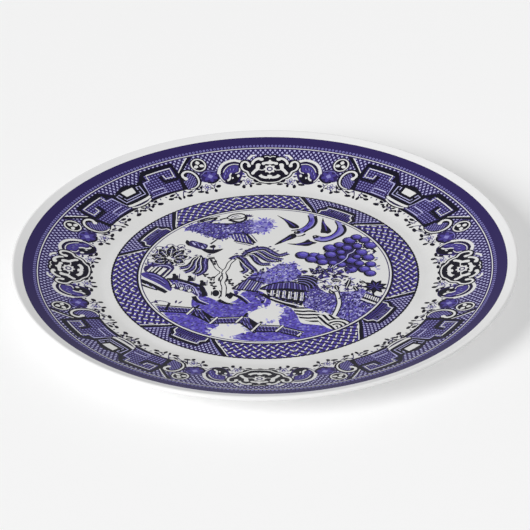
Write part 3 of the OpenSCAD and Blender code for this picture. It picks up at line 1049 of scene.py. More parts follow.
def willow(art, rng):
    """Leaning willow: two stems, and fronds that hang to both sides."""
    for path in WILLOW:
        art.layers(path, ("white", 5.2, 3.8), ("ink", 4.2, 2.9), ("blue", 2.7, 1.7))
        along = curve(path, steps=4)
        for (x, y), (u, v) in zip(along, along[1:]):
            way = math.degrees(math.atan2(v - y, u - x))
            art.leaf("navy", x, y, way + 50, 2.3, 1)
            art.leaf("ink", x, y, way - 55, 2.3, 1)
            art.leaf("wash", x, y, way + rng.uniform(-25, 25), 2, 0.6)
    trunks = (
        ((-31, 17), (-28, 15.8), (-26.6, 11), (-25.2, 6.4), (-22.6, 2), (-25.4, -3), (-25.8, -6.6)),
        ((-16.4, 14.6), (-18.8, 11), (-20, 6), (-21.8, 2), (-21.2, -3), (-22.4, -8), (-21.6, -13),
         (-22, -22)),
    )
    for path in trunks:
        art.layers(path, ("ink", 2.6, 3), ("white", 1.5, 1.9))
    art.line("ink", [(-22.2, 1), (-24, -3.6), (-23.6, -7.6)], 0.6)
    art.line("ink", [(-20.8, 1.4), (-19.6, -3), (-20.6, -7.4)], 0.6)
    for x, y in ((-28.4, 16.4), (-27, 13), (-28, -8.4), (-26.6, -11.4), (-18.6, -5.4), (-17.4, -9),
            (-31.4, 0.4), (-28.6, -3)):
        for angle in (60, 130, 270):
            art.leaf("ink", x, y - 1, angle + rng.uniform(-15, 15), rng.uniform(1.8, 3), 1.7)
    art.oval("ink", -26, -18.4, 1.9, 3.2)
    art.blob("ink", [(-20.8, -19), (-17.2, -19), (-17, -22), (-18.6, -24.4), (-20.2, -22)], 2)
    art.line("ink", [(-24, -15.6), (-23.2, -19), (-24.4, -23.4)], 0.7)
    art.line("ink", [(-28.2, -16.6), (-28.2, -20.4)], 0.6)
    for x, y in ((-12.5, 25), (-10, 22.5), (-6, 26.4), (-4, 27.6), (3, 27), (5, 24.6), (7, 22.6),
            (-15, 20.6), (-36.5, 19.6), (-39.6, 17.4), (-29.4, 20)):
        art.oval("navy", x, y, 0.9, 0.65, 30, 8)
        art.line("navy", [(x - 1.4, y - 0.8), (x, y)], 0.4)


def swallow(art, wings, tail, shade, streak):
    """One of the two birds: wings, then the body and tail with a dark edge and a pale streak."""
    for outline in wings:
        art.blob("ink", outline)
    art.blob("wash", tail)
    with art.inside(curve(tail, True)):
        art.line("sky", streak, 2.6)
        for (x, y), (u, v) in zip(streak, streak[1:]):
            art.leaf("navy", x, y, math.degrees(math.atan2(v - y, u - x)), 3.4, 0.7)
    for path, width in shade:
        art.line("ink", path, width, width * 0.6)


def left_bird(art):
    """Bird at the left, whose wings spread to the left and whose tail turns up."""
    wings = (
        ((7.2, 59.5), (11, 56), (14.5, 53), (17.8, 49.5), (19, 46.5), (17, 44.8), (14, 46), (12.6, 50),
         (10.6, 54.5), (8, 58)),
        ((16.5, 40), (14, 39.4), (10, 34.8), (7, 31.4), (5.3, 28.6), (8, 29.8), (12, 32.6), (15.5, 34.8),
         (17.4, 37)),
    )
    tail = [(17.5, 39.5), (21.4, 40.8), (24, 43.6), (27, 47), (28.4, 52), (28, 57.4), (25.6, 60.6),
        (24, 58.6), (24.5, 53), (22, 47.4), (18, 43.7)]
    shade = (
        (((27.8, 58), (28.2, 52), (26.4, 46.7), (23, 43.2), (21.3, 41)), 1.9),
        (((24, 58.6), (24.5, 53), (22, 47.4), (18, 43.7)), 0.9),
        (((22, 39.7), (20.5, 37.8), (17.6, 37.2)), 1.2),
    )
    swallow(art, wings, tail, shade, [(20, 42), (23.2, 46.6), (25.4, 51.4), (25.6, 56)])
    art.line("white", [(13.2, 45), (16, 44.8), (18.8, 45.2)], 0.9)
    art.line("ink", [(14.6, 43), (16.6, 43.6), (18.6, 44.4)], 0.9)
    art.oval("ink", 17.8, 41.4, 2, 1.7, 30)
    art.oval("white", 17.2, 41.9, 0.45, sides=8)
    feathers = (((11, 55.6), (13.6, 52), (16.6, 47.4)), ((9.6, 31.8), (12, 34.4), (14.4, 37)))
    art.lines("blue", feathers, 1.1, 0.7)


def right_bird(art):
    """Bird at the right, with one wing up, one wing to the left and its tail turned up."""
    wings = (
        ((32, 56), (33, 50), (35.5, 44.5), (36.2, 41.5), (34.5, 39.4), (32.5, 40), (30.3, 40.6),
         (30.8, 45), (31, 50)),
        ((12.3, 30), (17, 29.8), (21, 31.5), (23.5, 34), (25, 32), (28.2, 30.3), (25.5, 28.5), (23, 27),
         (18, 27.8), (14, 29)),
    )
    tail = [(26.2, 35.6), (27, 33), (31, 31.2), (35.2, 32.4), (38.7, 35.4), (42, 38.4), (43.9, 43),
        (42.8, 48), (40, 52.6), (38.5, 52), (39.8, 46), (38, 40.2), (34.5, 36.7), (30, 36.4)]
    shade = (
        (((42.6, 48.4), (43.8, 43), (42, 38.2), (38.6, 35), (35, 32.2), (31, 31.2), (27, 33)), 1.8),
        (((38.5, 52), (39.8, 46), (38, 40.2), (34.5, 36.7), (31, 36.2), (29, 37.5)), 0.9),
        (((27, 37.6), (26.4, 36), (27, 34)), 1.2),
    )
    swallow(art, wings, tail, shade, [(30, 34.8), (35, 36.2), (38.6, 40.4), (40, 45.6)])
    art.oval("ink", 27.6, 36.6, 1.8, 1.5, -20)
    art.oval("white", 27.2, 37, 0.4, sides=8)
    feathers = (((32, 52), (33, 47.6), (33.6, 42.4)), ((17, 29), (21.4, 29.6), (25.4, 30.6)))
    art.lines("blue", feathers, 1.1, 0.7)


# centre and radius of each round crown of the orange tree
ORANGES = ((45.5, 31.8, 3.4), (53.5, 32, 3.0), (49.4, 35.2, 2.8), (56.5, 26.5, 3.4), (35, 24.5, 3.6),
    (40, 27.5, 2.8), (44, 24.2, 2.8), (49.5, 26, 2.6), (20, 17.8, 3.6), (26, 17.5, 2.6),
    (24.8, 13.5, 3.2), (30, 15.5, 2.8), (30.5, 10.5, 3), (35, 17.8, 3.2), (40.5, 20, 2.4),
    (51.5, 19.5, 3.2), (55, 14.2, 3.2), (46, 11.5, 3.4), (41, 14.8, 2.2), (49, 15.2, 2.2), (50, 8.5, 2.6),
    (56, 7.5, 2.8), (45.5, 2.5, 3.2), (52.5, 2.5, 3.2), (40.5, 7.5, 2.6), (36, 9.5, 2.4), (55.5, -1.5, 3))


def orange_tree(art, rng):
    """Tree of round shaded crowns at the right."""
    crowd = [(18, 20), (30, 22), (42, 30), (55, 32), (59, 24), (60, 6), (57, -3), (44, 0), (34, 8),
        (24, 11)]
    leaves(art, rng, crowd, 2.4, ("navy", "ink", "wash", "blue"), (2, 3), (1, 1.5))
    art.blob("navy", [(34, 24), (40, 28), (47, 30), (52, 26), (50, 18), (52, 8), (50, 3), (46, 4),
        (40, 8), (32, 12), (28, 15), (34, 18)])
    for x, y, r in ORANGES:
        art.oval("ink", x, y, r + 0.45, r + 0.35, sides=16)
        art.oval("blue", x + 0.2, y + 0.3, r - 0.15, r - 0.2, sides=14)
        art.oval("sky", x + r * 0.22, y + r * 0.28, r * 0.62, r * 0.55, 0, 12)
        art.line("wash", [(x - r * 0.1, y + r * 0.62), (x + r * 0.4, y + r * 0.5),
            (x + r * 0.66, y + r * 0.05)], r * 0.24, 0.25)
        art.line("ink", [(x - r * 0.8, y + r * 0.2), (x - r * 0.66, y - r * 0.5), (x, y - r * 0.82)],
            r * 0.2, r * 0.26)
        for angle in (200, 240, 280):
            c, s = direction(angle)
            ray = [(x + r * share * c, y + r * share * s) for share in (0.35, 0.85)]
            art.line("navy", ray, 0.35)
    art.line("ink", [(49, 24), (47.4, 20), (44.8, 18), (43.8, 14), (40.4, 9.8), (38.2, 8), (36, 4.6)],
        1.5)
    art.line("pale", [(48.5, 23), (47, 20), (44.5, 18), (43.5, 14), (40, 9.5), (38, 8), (36, 5)], 0.6)


def fluffy_trees(art, rng):
    """Dark tree and light tree behind the tea house, and the striped roof beside them."""
    dark = curve([(-12, -10), (-9, -3), (-4, 2), (0, 2), (2, -4), (-1, -10), (-8, -13)], True)
    art.fill("navy", dark)
    with art.inside(dark):
        leaves(art, rng, dark, 1.6, ("ink", "blue", "wash", "sky"), (1.6, 2.8))
    fringe(art, rng, dark, ("ink", "navy"), 3, 1.4)
    light = curve([(-2, -3), (1, 3), (5, 7), (8, 10), (12, 9), (15, 10.5), (17.5, 9), (17, 5), (19.5, 0),
        (17.5, -5), (12, -8.6), (5, -11.4), (-1, -9)], True)
    art.fill("wash", light)
    with art.inside(light):
        stipple(art, rng, light, 1.9, ("sky", "blue", "sky", "pale"), (0.7, 1.3))
        dashes(art, rng, light, 1.5, ("blue", "navy", "navy", "sky"), 60, (1.4, 2.6), (0.5, 0.8))
    fringe(art, rng, light, ("navy", "blue", "wash"), 2.6, 1.1)
    roof = [(-17, -14), (-9.4, -5), (-1, -9), (-4, -17), (-12, -15.4)]
    art.fill("navy", roof)
    with art.inside(roof):
        for i in range(12):
            art.line("wash" if i % 3 else "white", [(-17 + 1.5 * i, -18), (-11.4 + 1.5 * i, -4)], 0.5)
    art.line("ink", [(-17.4, -14), (-9.4, -4.8), (-1, -9)], 1.1, steps=1)
    art.line("ink", [(-17.4, -14.4), (-11, -15.8), (-3.6, -17.6)], 1.2)


def cottage_roof(art, rng):
    """Tiled roof behind the tea house, and the dark leaves round it."""
    thicket = curve([(16, -4), (22, 2), (30, 3), (38, 3), (42, -2), (36, -7), (30, -9), (29, -16),
        (22, -18)], True)
    leaves(art, rng, thicket, 1.8, ("navy", "ink", "blue"), (2, 3.2), (1.2, 1.8))
    roof = curve([(17, -5.6), (20.4, -2), (25.6, -3.4), (28.4, -8), (26, -13.4), (21, -14.4), (18, -11)],
        True)
    art.fill("ink", roof)
    with art.inside(roof):
        for i in range(5):
            r = 3.2 + 2.1 * i
            art.line("wash", arc(18, -14.5, r, 100, -20, 4), 0.5)
    for x, y, angle in ((28, 0, 100), (31, -2, 60), (35, 1, 80), (38, 0, 20), (40, -3, -30),
            (30, -7, 200), (33, -6, 250), (36, -3, 300), (26.4, 2, 140), (42.6, -0.6, 60),
            (29.6, 3.6, 110), (33.4, 4.4, 60)):
        art.leaf("ink", x, y, angle, 4.4, 2.3)
        art.leaf("wash", x, y, angle, 3.2, 0.45)
    leaves(art, rng, [(24, 5), (44, 5), (44, -6), (28, -8)], 2.1, ("navy", "blue", "ink"), (2, 3.2),
        (1.2, 1.8))


def tea_house(art, rng):
    """Tea house on its terrace: dark columns with light windows between, under a broad roof."""
    walls = [(0, -14), (19.6, -12), (21, -24), (18.6, -33), (8, -29), (1.6, -24)]
    art.fill("ink", walls)
    lean = 1.6
    for i in range(6):
        x, top, foot = 3 + 3.1 * i, -16.4 - 0.55 * i, -21.6 - 1.1 * i
        art.fill("white", [(x, top), (x + 1.7, top - 0.3), (x + 1.7 - lean * 0.4, foot - 0.3),
            (x - lean * 0.4, foot)])
        art.line("blue", [(x + 0.9, top), (x + 0.5, foot)], 0.45)
    with art.inside(walls):
        dashes(art, rng, walls, 1.9, ("navy", "blue", "white", "wash", "ink"), -20, (1, 2.2), (0.5, 0.8))
    eaves = [(-2.4, -14.8), (4, -10.4), (14, -9), (21.4, -12.4), (22.6, -17.6), (12, -15), (2, -15.6)]
    art.fill("navy", eaves)
    with art.inside(eaves):
        for i in range(17):
            art.line("wash" if i % 2 else "blue", [(-2 + 1.6 * i, -18.5), (0.6 + 1.35 * i, -8.6)], 0.6)
    art.lines("ink", (((-3, -15), (2, -16), (12, -15.4), (23.2, -18.4)), ((-2.6, -14.6), (4, -10),
        (14, -8.6), (22, -12.4))), 1.2)
    for i in range(4):
        x, y = 4.4 + 3.6 * i, -25.4 - 1.5 * i
        art.fill("wash", [(x, y), (x + 2.2, y - 0.9), (x + 2.1, y - 3.1), (x - 0.1, y - 2.2)])
        art.line("ink", [(x + 1, y - 0.2), (x + 1, y - 3.2)], 0.5)
    art.line("ink", [(-1.6, -20), (3, -24.8), (10, -29.8), (17.4, -34.6)], 2.5)
    art.line("white", [(2.6, -23.6), (9, -27.9), (17, -31.6), (19.6, -33.6)], 0.9)


def small_leaf_trees(art, rng):
    """Pale feathery tree with dark leaves, and its stem."""
    crown = curve([(28, -8), (33, -5), (40, -6), (47, -4.6), (51, -9), (50, -15), (46, -18.6), (40, -19),
        (34, -20.6), (29.6, -17), (27.6, -12)], True)
    art.fill("white", crown)
    with art.inside(crown):
        leaves(art, rng, crown, 2.1, ("wash", "blue", "navy", "navy"), (1.8, 3), (0.8, 1.3))
    for x, y, angle, length in ((45, -6, -105, 11), (37, -12, -80, 6.4), (35.4, -13, 200, 6),
            (46.5, -13.4, -70, 6), (40.4, -9, 160, 6.6), (33.4, -17.4, -60, 4.6), (49.4, -9, -30, 4)):
        art.leaf("ink", x, y, angle, length, 2.9)
        c, s = direction(angle)
        art.line("white", [(x + c, y + s), (x + (length - 1.2) * c, y + (length - 1.2) * s)], 0.4)
    for x, y in ((31, -9), (43, -17), (38.4, -19.4), (30.6, -14.6), (50, -14)):
        for angle in range(0, 360, 72):
            art.leaf("navy", x, y, angle, 2.1, 0.9)
    stem = [(37.2, -19), (38, -24), (38.4, -30), (37, -37), (35, -43)]
    art.layers(stem, ("ink", 3), ("white", 1.7))
    art.line("navy", [(38.2, -26), (41, -22.6), (43.8, -20.8)], 0.9)


def palm_and_steps(art):
    """Spiky palm at the right edge, and the steps below it."""
    for i in range(9):
        angle = 20 + 40 * i
        art.leaf("ink", 57.6, -14.6, angle, 7, 3.2)
        art.leaf("blue", 57.6, -14.6, angle, 4.4, 0.9)
    art.line("ink", [(57.4, -15), (56.4, -20), (56.8, -25)], 1.1)
    tread = [(52.6, -21), (64, -28.4), (60.4, -34.4), (49.6, -26.8)]
    art.fill("white", tread)
    with art.inside(tread):
        for i in range(14):
            art.line("navy", [(50 + 1.1 * i, -29.2 - 0.6 * i), (52 + 1.1 * i, -21.6 - 0.6 * i)], 0.5)
    art.line("ink", [(52.6, -21), (64, -28.4)], 1.1)
    art.line("ink", [(50.6, -24.8), (61.6, -32.4)], 1.5)
    art.line("white", [(49.8, -26.2), (60.4, -33.6)], 1.1)
    art.line("ink", [(49.2, -27.6), (59.6, -34.8)], 0.9)


def hillside(art, rng):
    """Stippled bank at the right, under the fields."""
    bank = curve([(19, -10), (28, -12), (40, -18), (50, -16), (57, -23), (66, -28), (62, -44), (50, -58),
        (42, -56), (38, -46), (30, -38), (21, -35), (19, -24)], True)
    art.fill("blue", bank)
    fringe(art, rng, bank, ("blue", "navy", "wash"), 2, 0.9)
    with art.inside(bank):
        stipple(art, rng, bank, 1.9, ("sky", "wash", "wash", "pale"), (0.6, 1.2))
        dashes(art, rng, bank, 1.5, ("ink", "navy", "navy", "pale", "wash"), 60, (1.4, 2.8), (0.5, 0.9))


def striped_field(art, region, pitch, angle, wave):
    """Field of wavy dark furrows."""
    art.fill("white", region)
    xs, ys = zip(*region)
    cx, cy, reach = sum(xs) / len(xs), sum(ys) / len(ys), 16
    c, s = direction(angle)
    with art.inside(region):
        for i in range(-4, 5):
            path = []
            for j in range(-5, 6):
                u, v = j * reach / 5, i * pitch + wave * math.sin(j * 2.1 + i)
                path.append((cx + u * c - v * s, cy + u * s + v * c))
            art.line("ink", path, pitch * 0.5, steps=1)


def fields(art):
    """Two striped fields in front of the bank, and a mound of rings between them."""
    striped_field(art, curve([(14.5, -34), (20, -33.6), (25, -36.4), (29, -42), (28, -48), (22, -47),
        (17, -43)], True), 3.1, -5, 0.35)
    striped_field(art, curve([(27, -41.6), (33, -41), (39, -44.6), (42.4, -50), (37, -55.6), (31, -53),
        (27.6, -48)], True), 3, -56, 0.3)
    with art.inside([(32, -49), (34, -43), (45, -43), (46, -50), (39, -54.6)]):
        for r, tone in ((8.4, "ink"), (7.2, "white"), (5.8, "ink"), (4.4, "white"), (3.2, "ink"),
                (2, "white"), (0.9, "ink")):
            art.oval(tone, 36.4, -52.2, r, r * 0.9, 20, 20)


def water(art, rng):
    """Bright washes of the lake in front, with white clearings."""
    washes = (
        [(-53, -35), (-44, -36), (-34, -40), (-26, -46), (-24, -49), (-27, -53), (-29, -59.4),
         (-37, -54.4), (-45.6, -47.4), (-51, -40.6)],
        [(-38, -22), (-34, -21), (-30, -22), (-25, -26), (-20, -28), (-15, -25), (-12, -18), (-5, -16),
         (0, -20), (3, -28), (0, -33), (-6, -36), (-9, -40), (-10, -45), (-20, -45), (-30, -42),
         (-38, -33)],
        [(6, -31), (12, -33), (16, -40), (18, -48), (24, -50), (33, -53), (35, -62), (19, -66),
         (10, -57), (7, -49)],
        [(-19, -60.6), (-10, -56), (0, -54), (9, -56), (15, -62), (8, -64.6), (-8, -64.6)],
    )
    for outline in washes:
        region = curve(outline, True)
        art.fill("sky", region)
        with art.inside(region):
            stipple(art, rng, region, 1.9, ("blue", "wash", "blue", "blue"), (0.6, 1.2))
            dashes(art, rng, region, 1.9, ("wash", "navy", "navy", "blue"), 8, (1.2, 2.6), (0.45, 0.75))
    clearings = (
        [(-29, -55), (-25, -50.6), (-20, -48.6), (-15, -50), (-11, -54), (-14, -58), (-20, -60),
         (-26, -59)],
        [(-9, -41), (-6, -36), (0, -32.6), (6, -32), (9.6, -35), (8, -40), (3, -45), (-4, -47),
         (-8, -45)],
    )
    for clearing in clearings:
        edge = curve(clearing, True)
        fringe(art, rng, edge, ("wash", "pale", "wash"), 4, 1.8)
        art.fill("white", edge)
        fringe(art, rng, edge, ("pale", "white", "white"), 2.6, 1.3)


def stones(art, rng):
    """Rocks at the water's edge, and the dark ground between the willow and the tea house."""
    rocks = (((-37.4, -21), (-36, -25.4), (-31, -29.4)), ((-24.6, -25), (-21, -28.2), (-17, -29.4)),
        ((-19, -18.6), (-13.6, -22.6), (-9.4, -29)), ((-4, -22), (-1.4, -25), (-2, -29)))
    art.lines("ink", rocks, 2.8, 1.2)
    art.lines("white", [[(x + 1.5, y + 0.7) for x, y in path] for path in rocks], 0.8, 0.4)
    ground = curve([(-16.8, -13), (-12, -10.6), (-7, -13), (-3, -18), (1, -22), (-2, -27), (-5.4, -22.6),
        (-9, -17.4), (-12.6, -16), (-15.4, -21)], True)
    art.fill("blue", ground)
    with art.inside(ground):
        stipple(art, rng, ground, 1.7, ("ink", "navy", "wash", "sky", "white"), (0.5, 1.1))
        leaves(art, rng, ground, 2.2, ("ink", "navy", "pale"), (1.6, 2.8))


# outlines of the fence's panels; a panel's rail runs from its first point to its second
FENCE = (
    ((-57.6, -28.6), (-37.2, -32.4), (-38.4, -37), (-55, -35.2)),
    ((-38, -31.4), (-33.6, -33.6), (-25.6, -43.6), (-28.6, -47), (-38.6, -38)),
    ((-28.4, -42.2), (-12, -41.6), (-12.6, -47.4), (-28.8, -47.2)),
    ((-13, -41), (-9, -42), (-1.6, -51), (-5.6, -57.2), (-13, -47.6)),
    ((-4.6, -49.6), (9.6, -51.2), (8.6, -56.6), (-5, -55.6)),
    ((8, -51.4), (19.4, -56.6), (17.6, -61.6), (7.6, -57)),
)


def fence(art):
    """Zigzag garden fence along the front, with light posts."""
    for panel in FENCE:
        (ax, ay), (bx, by), (cx, cy), (dx, dy) = panel[0], panel[1], panel[-2], panel[-1]
        art.fill("ink", panel)
        with art.inside(list(panel)):
            count = max(3, round(math.hypot(bx - ax, by - ay) / 1.9))
            for i in range(count):
                s, t = i / count, (i + 1) / count
                top = [(ax + (bx - ax) * k, ay + (by - ay) * k) for k in (s, t)]
                foot = [(dx + (cx - dx) * k, dy + (cy - dy) * k) for k in (s, t)]
                art.line("wash", [top[0], foot[1]], 0.45)
                art.line("blue", [foot[0], top[1]], 0.6)
            art.line("navy", [((ax + dx) / 2, (ay + dy) / 2), ((bx + cx) / 2, (by + cy) / 2)], 0.8)
        art.line("white", [(ax, ay - 0.7), (bx, by - 0.7)], 0.4)
        art.line("ink", [(ax, ay), (bx, by)], 1.0)
        art.line("ink", [(dx, dy), (cx, cy)], 1.2)
    for post in (((-41, -38.5), (-37.3, -32.3)), ((-29, -47.5), (-25, -41.5)), ((-15.5, -47),
            (-12, -41.5)), ((-7.5, -55.5), (-3, -48)), ((5, -56), (9, -50.5)), ((16, -60.5), (18, -58))):
        art.layers(post, ("ink", 2), ("white", 1))
    for post in (((-52, -34), (-50, -27)), ((-37, -33), (-34.5, -30)), ((-11, -41), (-9.5, -38)),
            ((-3, -48), (-2, -46.5))):
        art.line("ink", post, 1.5)


def scene_art():
    """Landscape for the middle of the plate, from the far shore to the fence in front."""
    rng = random.Random(7)
    art = Art()
    distant_shore(art, rng)
    pagoda(art)
    sampan(art)
    oak_leaves(art, rng)
    arcade(art)
    bold_roofs(art)
    water(art, rng)
    stones(art, rng)
    bridge(art, rng)
    orange_tree(art, rng)
    fluffy_trees(art, rng)
    hillside(art, rng)
    cottage_roof(art, rng)
    tea_house(art, rng)
    small_leaf_trees(art, rng)
    palm_and_steps(art)
    fields(art)
    willow(art, rng)
    left_bird(art)
    right_bird(art)
    fence(art)
    for x, y, angle in ((-58, -27, 60), (-57, -27, 100), (-56, -27.4, 130), (-47, -27.6, 80),
            (-45.6, -28, 50)):
        art.leaf("navy", x, y, angle, 3.4, 1.1)
    return art


# ---- materials ---------------------------------------------------------------
def linear(grey):
    """Linear value of an sRGB channel from 0 to 255."""
    v = grey / 255
    return v / 12.92 if v <= 0.04045 else ((v + 0.055) / 1.055) ** 2.4


def colour(red, green, blue):
    """Linear colour from sRGB channels from 0 to 255."""
    return (linear(red), linear(green), linear(blue), 1)


def set_inputs(node, values):
    """Sets the inputs of a shader node that have these names."""
    for name, value in values.items():
        node.inputs[name].default_value = value
    return node


def new_node(tree, kind, values=None):
    """A new shader node of a kind, with some of its inputs set."""
    return set_inputs(tree.nodes.new("ShaderNode" + kind), values or {})


def noise(tree, scale, detail=3.0):
    """Noise fixed to the plate, whose scale counts features in a metre."""
    place = new_node(tree, "TexCoord")
    texture = new_node(tree, "TexNoise", {"Scale": scale, "Detail": detail})
    tree.links.new(place.outputs["Object"], texture.inputs["Vector"])
    return texture.outputs["Fac"]


def ramp(tree, factor, stops):
    """Turns a factor into the colours of the stops: (position, colour)."""
    node = new_node(tree, "ValToRGB")
    elements = node.color_ramp.elements
    elements[0].position, elements[0].color = stops[0]
    elements[1].position, elements[1].color = stops[-1]
    for position, shade in stops[1:-1]:
        elements.new(position).color = shade
    tree.links.new(factor, node.inputs["Fac"])
    return node.outputs["Color"]


def spread(tree, factor, low, high):
    """Spreads a noise's usual values over a range."""
    node = new_node(tree, "MapRange", {"From Min": 0.3, "From Max": 0.7, "To Min": low, "To Max": high})
    tree.links.new(factor, node.inputs["Value"])
    return node.outputs["Result"]


def glazed(name, base, roughness=(0.16, 0.24), wave=0.00002):
    """Glossy glaze: the shine varies a little, and the surface has a faint orange peel."""
    material = bpy.data.materials.new(name)
    material.use_nodes = True
    tree = material.node_tree
    shader = tree.nodes["Principled BSDF"]
    set_inputs(shader, {"Base Color": base, "IOR": 1.5, "Specular IOR Level": 0.11})
    tree.links.new(spread(tree, noise(tree, 90), *roughness), shader.inputs["Roughness"])
    bump = new_node(tree, "Bump", {"Strength": 0.25, "Distance": wave})
    tree.links.new(noise(tree, 420, 2.0), bump.inputs["Height"])
    tree.links.new(bump.outputs["Normal"], shader.inputs["Normal"])
    return material


def mottled(material, scale, stops):
    """Gives a material a colour that varies with noise."""
    tree = material.node_tree
    shader = tree.nodes["Principled BSDF"]
    tree.links.new(ramp(tree, noise(tree, scale, 5.0), stops), shader.inputs["Base Color"])
    return material


def china_white():
    """White glaze over pale clay, a shade greyer here and there, with a painted highlight that makes it
    whitest on the margin and lip.
    """
    stops = [(0.35, colour(217, 217, 216)), (0.65, colour(222, 222, 222))]
    material = mottled(glazed("china_white", colour(220, 220, 219)), 45, stops)
    tree = material.node_tree
    shader = tree.nodes["Principled BSDF"]
    place = new_node(tree, "TexCoord")
    flat = new_node(tree, "VectorMath")
    flat.operation = "MULTIPLY"
    flat.inputs[1].default_value = (1, 1, 0)
    radius = new_node(tree, "VectorMath")
    radius.operation = "LENGTH"
    # painted highlight: from the bead line to the edge band the glaze colour ramps up to a lighter white,
    # which it keeps on the margin and lip
    lip = new_node(tree, "MapRange", {"From Min": BEAD_R * MM, "From Max": BAND_R * MM})
    lip_painted_highlight = new_node(tree, "Mix")
    lip_painted_highlight.data_type = "RGBA"
    # lighter white of the painted highlight on the margin and lip
    lip_painted_highlight.inputs["B"].default_value = colour(229, 229, 229)
    tree.links.new(place.outputs["Object"], flat.inputs[0])
    tree.links.new(flat.outputs["Vector"], radius.inputs[0])
    tree.links.new(radius.outputs["Value"], lip.inputs["Value"])
    tree.links.new(lip.outputs["Result"], lip_painted_highlight.inputs["Factor"])
    tree.links.new(shader.inputs["Base Color"].links[0].from_socket, lip_painted_highlight.inputs["A"])
    tree.links.new(lip_painted_highlight.outputs["Result"], shader.inputs["Base Color"])
    return material


def clay():
    """Bare fired clay on the standing edge: matt, cream and slightly grained."""
    stops = [(0.3, colour(206, 198, 182)), (0.55, colour(222, 215, 201)), (0.8, colour(184, 174, 158))]
    return mottled(glazed("bare_clay", colour(222, 215, 201), (0.75, 0.95), 0.00008), 900, stops)


def inks():
    """The tones of the printed decoration, in the order of TONES."""
    shades = ((220, 220, 219), (184, 182, 226), (134, 130, 194), (92, 80, 184), (71, 61, 138),
        (46, 36, 88), (18, 16, 32))
    return [glazed("print_" + tone, colour(*shade)) for tone, shade in zip(TONES, shades)]


def floor_material():
    """Pale matt floor that glows a little."""
    material = bpy.data.materials.new("studio_floor")
    material.use_nodes = True
    shader = material.node_tree.nodes["Principled BSDF"]
    set_inputs(shader, {"Base Color": colour(222, 222, 222), "Roughness": 0.9, "Specular IOR Level": 0.1})
    set_inputs(shader, {"Emission Color": (1, 1, 1, 1), "Emission Strength": 0.21})
    return material


# ---- camera and light: angles in degrees, lens in millimetres, the rest in metres
ELEVATION = 32.16
CAMERA_DISTANCE = 1.7264
FOCAL_LENGTH = 221.8
SENSOR_WIDTH = 36
ROLL = -0.98
SHIFT_Y = 0.0163
FARTHEST = 30
FLOOR_REACH = 12


def add_camera():
    """A long lens that looks down at the plate from the front."""
    target = Vector((0, 0, WELL_Z * MM))
    elevation = math.radians(ELEVATION)
    back = Vector((0, -math.cos(elevation), math.sin(elevation)))
    data = bpy.data.cameras.new("camera")
    data.lens = FOCAL_LENGTH
    data.sensor_width = SENSOR_WIDTH
    data.shift_y = SHIFT_Y
    data.clip_end = FARTHEST
    camera = bpy.data.objects.new("camera", data)
    bpy.context.scene.collection.objects.link(camera)
    camera.location = target + CAMERA_DISTANCE * back
    tilt = (-back).to_track_quat("-Z", "Y").to_matrix().to_4x4()
    camera.rotation_euler = (tilt @ Matrix.Rotation(math.radians(ROLL), 4, "Z")).to_euler()
    bpy.context.scene.camera = camera


def add_light(name, place, size, power, shadow=True):
    """A round area light that faces the middle of the plate."""
    data = bpy.data.lights.new(name, "AREA")
    data.shape = "DISK"
    data.size = size
    data.energy = power
    data.use_shadow = shadow
    light = bpy.data.objects.new(name, data)
    bpy.context.scene.collection.objects.link(light)
    light.location = place
    light.rotation_euler = (-Vector(place)).to_track_quat("-Z", "Y").to_euler()


def add_world():
    """Soft light from all round, weakest at the front and strongest at the back."""
    world = bpy.data.worlds.new("world")
    world.use_nodes = True
    tree = world.node_tree
    place = new_node(tree, "TexCoord")
    split = new_node(tree, "SeparateXYZ")
    strength = new_node(tree, "MapRange", {"From Min": -1, "From Max": 0.8, "To Min": 0.22, "To Max": 0.47})
    tree.links.new(place.outputs["Generated"], split.inputs["Vector"])
    tree.links.new(split.outputs["Y"], strength.inputs["Value"])
    tree.links.new(strength.outputs["Result"], tree.nodes["Background"].inputs["Strength"])
    set_inputs(tree.nodes["Background"], {"Color": (1, 1, 1, 1)})
    bpy.context.scene.world = world


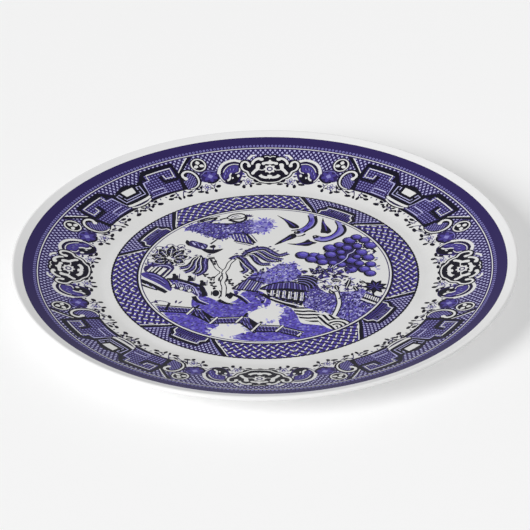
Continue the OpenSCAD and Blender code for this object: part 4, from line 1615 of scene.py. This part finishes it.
def add_studio():
    """Pale floor, a soft key from the front left, a weak fill from the right and the room."""
    mesh = bpy.data.meshes.new("floor")
    corners = [(x * FLOOR_REACH, y * FLOOR_REACH, 0) for x, y in ((-1, -1), (1, -1), (1, 1), (-1, 1))]
    mesh.from_pydata(corners, [], [(0, 1, 2, 3)])
    mesh.materials.append(floor_material())
    floor = bpy.data.objects.new("floor", mesh)
    bpy.context.scene.collection.objects.link(floor)
    add_light("key", place=(-6.44, -5.8, 4.8), size=4.4, power=928)
    add_light("fill", place=(2.9, 0.8, 1.96), size=1.7, power=36, shadow=False)
    add_world()
    bpy.context.scene.view_settings.view_transform = "Standard"


# ---- the plate ---------------------------------------------------------------
white = china_white()
lathe("biscuit_body_clay", body_outline(), clay(), "biscuit_body")
lathe("face_glaze_coat", face_glaze_outline(), white, "face_glaze")
lathe("base_glaze_coat", base_glaze_outline(), white, "base_glaze")

tones = inks()
QUARTERS = (0, 90, 180, 270)
WHOLE_TURN = both_halves([BORDER_TURN + a for a in QUARTERS], UNROLL_R)
WHOLE_WELL_TURN = both_halves([WELL_TURN + a for a in QUARTERS], WELL_UNROLL_R)

band = cut(Art(), unrolled_region(BEAD_R, BAND_R, HALF), "navy")
sheet("edge_band", band, WHOLE_TURN, tones)
beads = cut(bead_art(), unrolled_region(BORDER_R, BEAD_R, HALF))
sheet("bead_line", beads, WHOLE_TURN, tones)
border = cut(border_art(), unrolled_region(BORDER_IN_R, BORDER_R, HALF))
for side, angle in zip(("east", "north", "west", "south"), QUARTERS):
    spots = both_halves([BORDER_TURN + angle], UNROLL_R)
    sheet("rim_border_" + side, border, spots, tones)
well = cut(well_art(), unrolled_region(RING_R, WELL_BORDER_R, WELL_HALF))
for side, angle in zip(("northeast", "northwest", "southwest", "southeast"), QUARTERS):
    spots = both_halves([WELL_TURN + angle], WELL_UNROLL_R)
    sheet("well_border_" + side, well, spots, tones)
ring = cut(ring_art(), unrolled_region(SCENE_R, RING_R, WELL_HALF))
sheet("ring_line", ring, WHOLE_WELL_TURN, tones)
circle = [2 * math.pi * k / TURN_STEPS for k in range(TURN_STEPS)]
circle = [(SCENE_R * math.cos(a), SCENE_R * math.sin(a)) for a in circle]
scene = simplified(cut(scene_art(), circle))
sheet("centre_scene", scene, [(from_above, False)], tones)

add_camera()
add_studio()
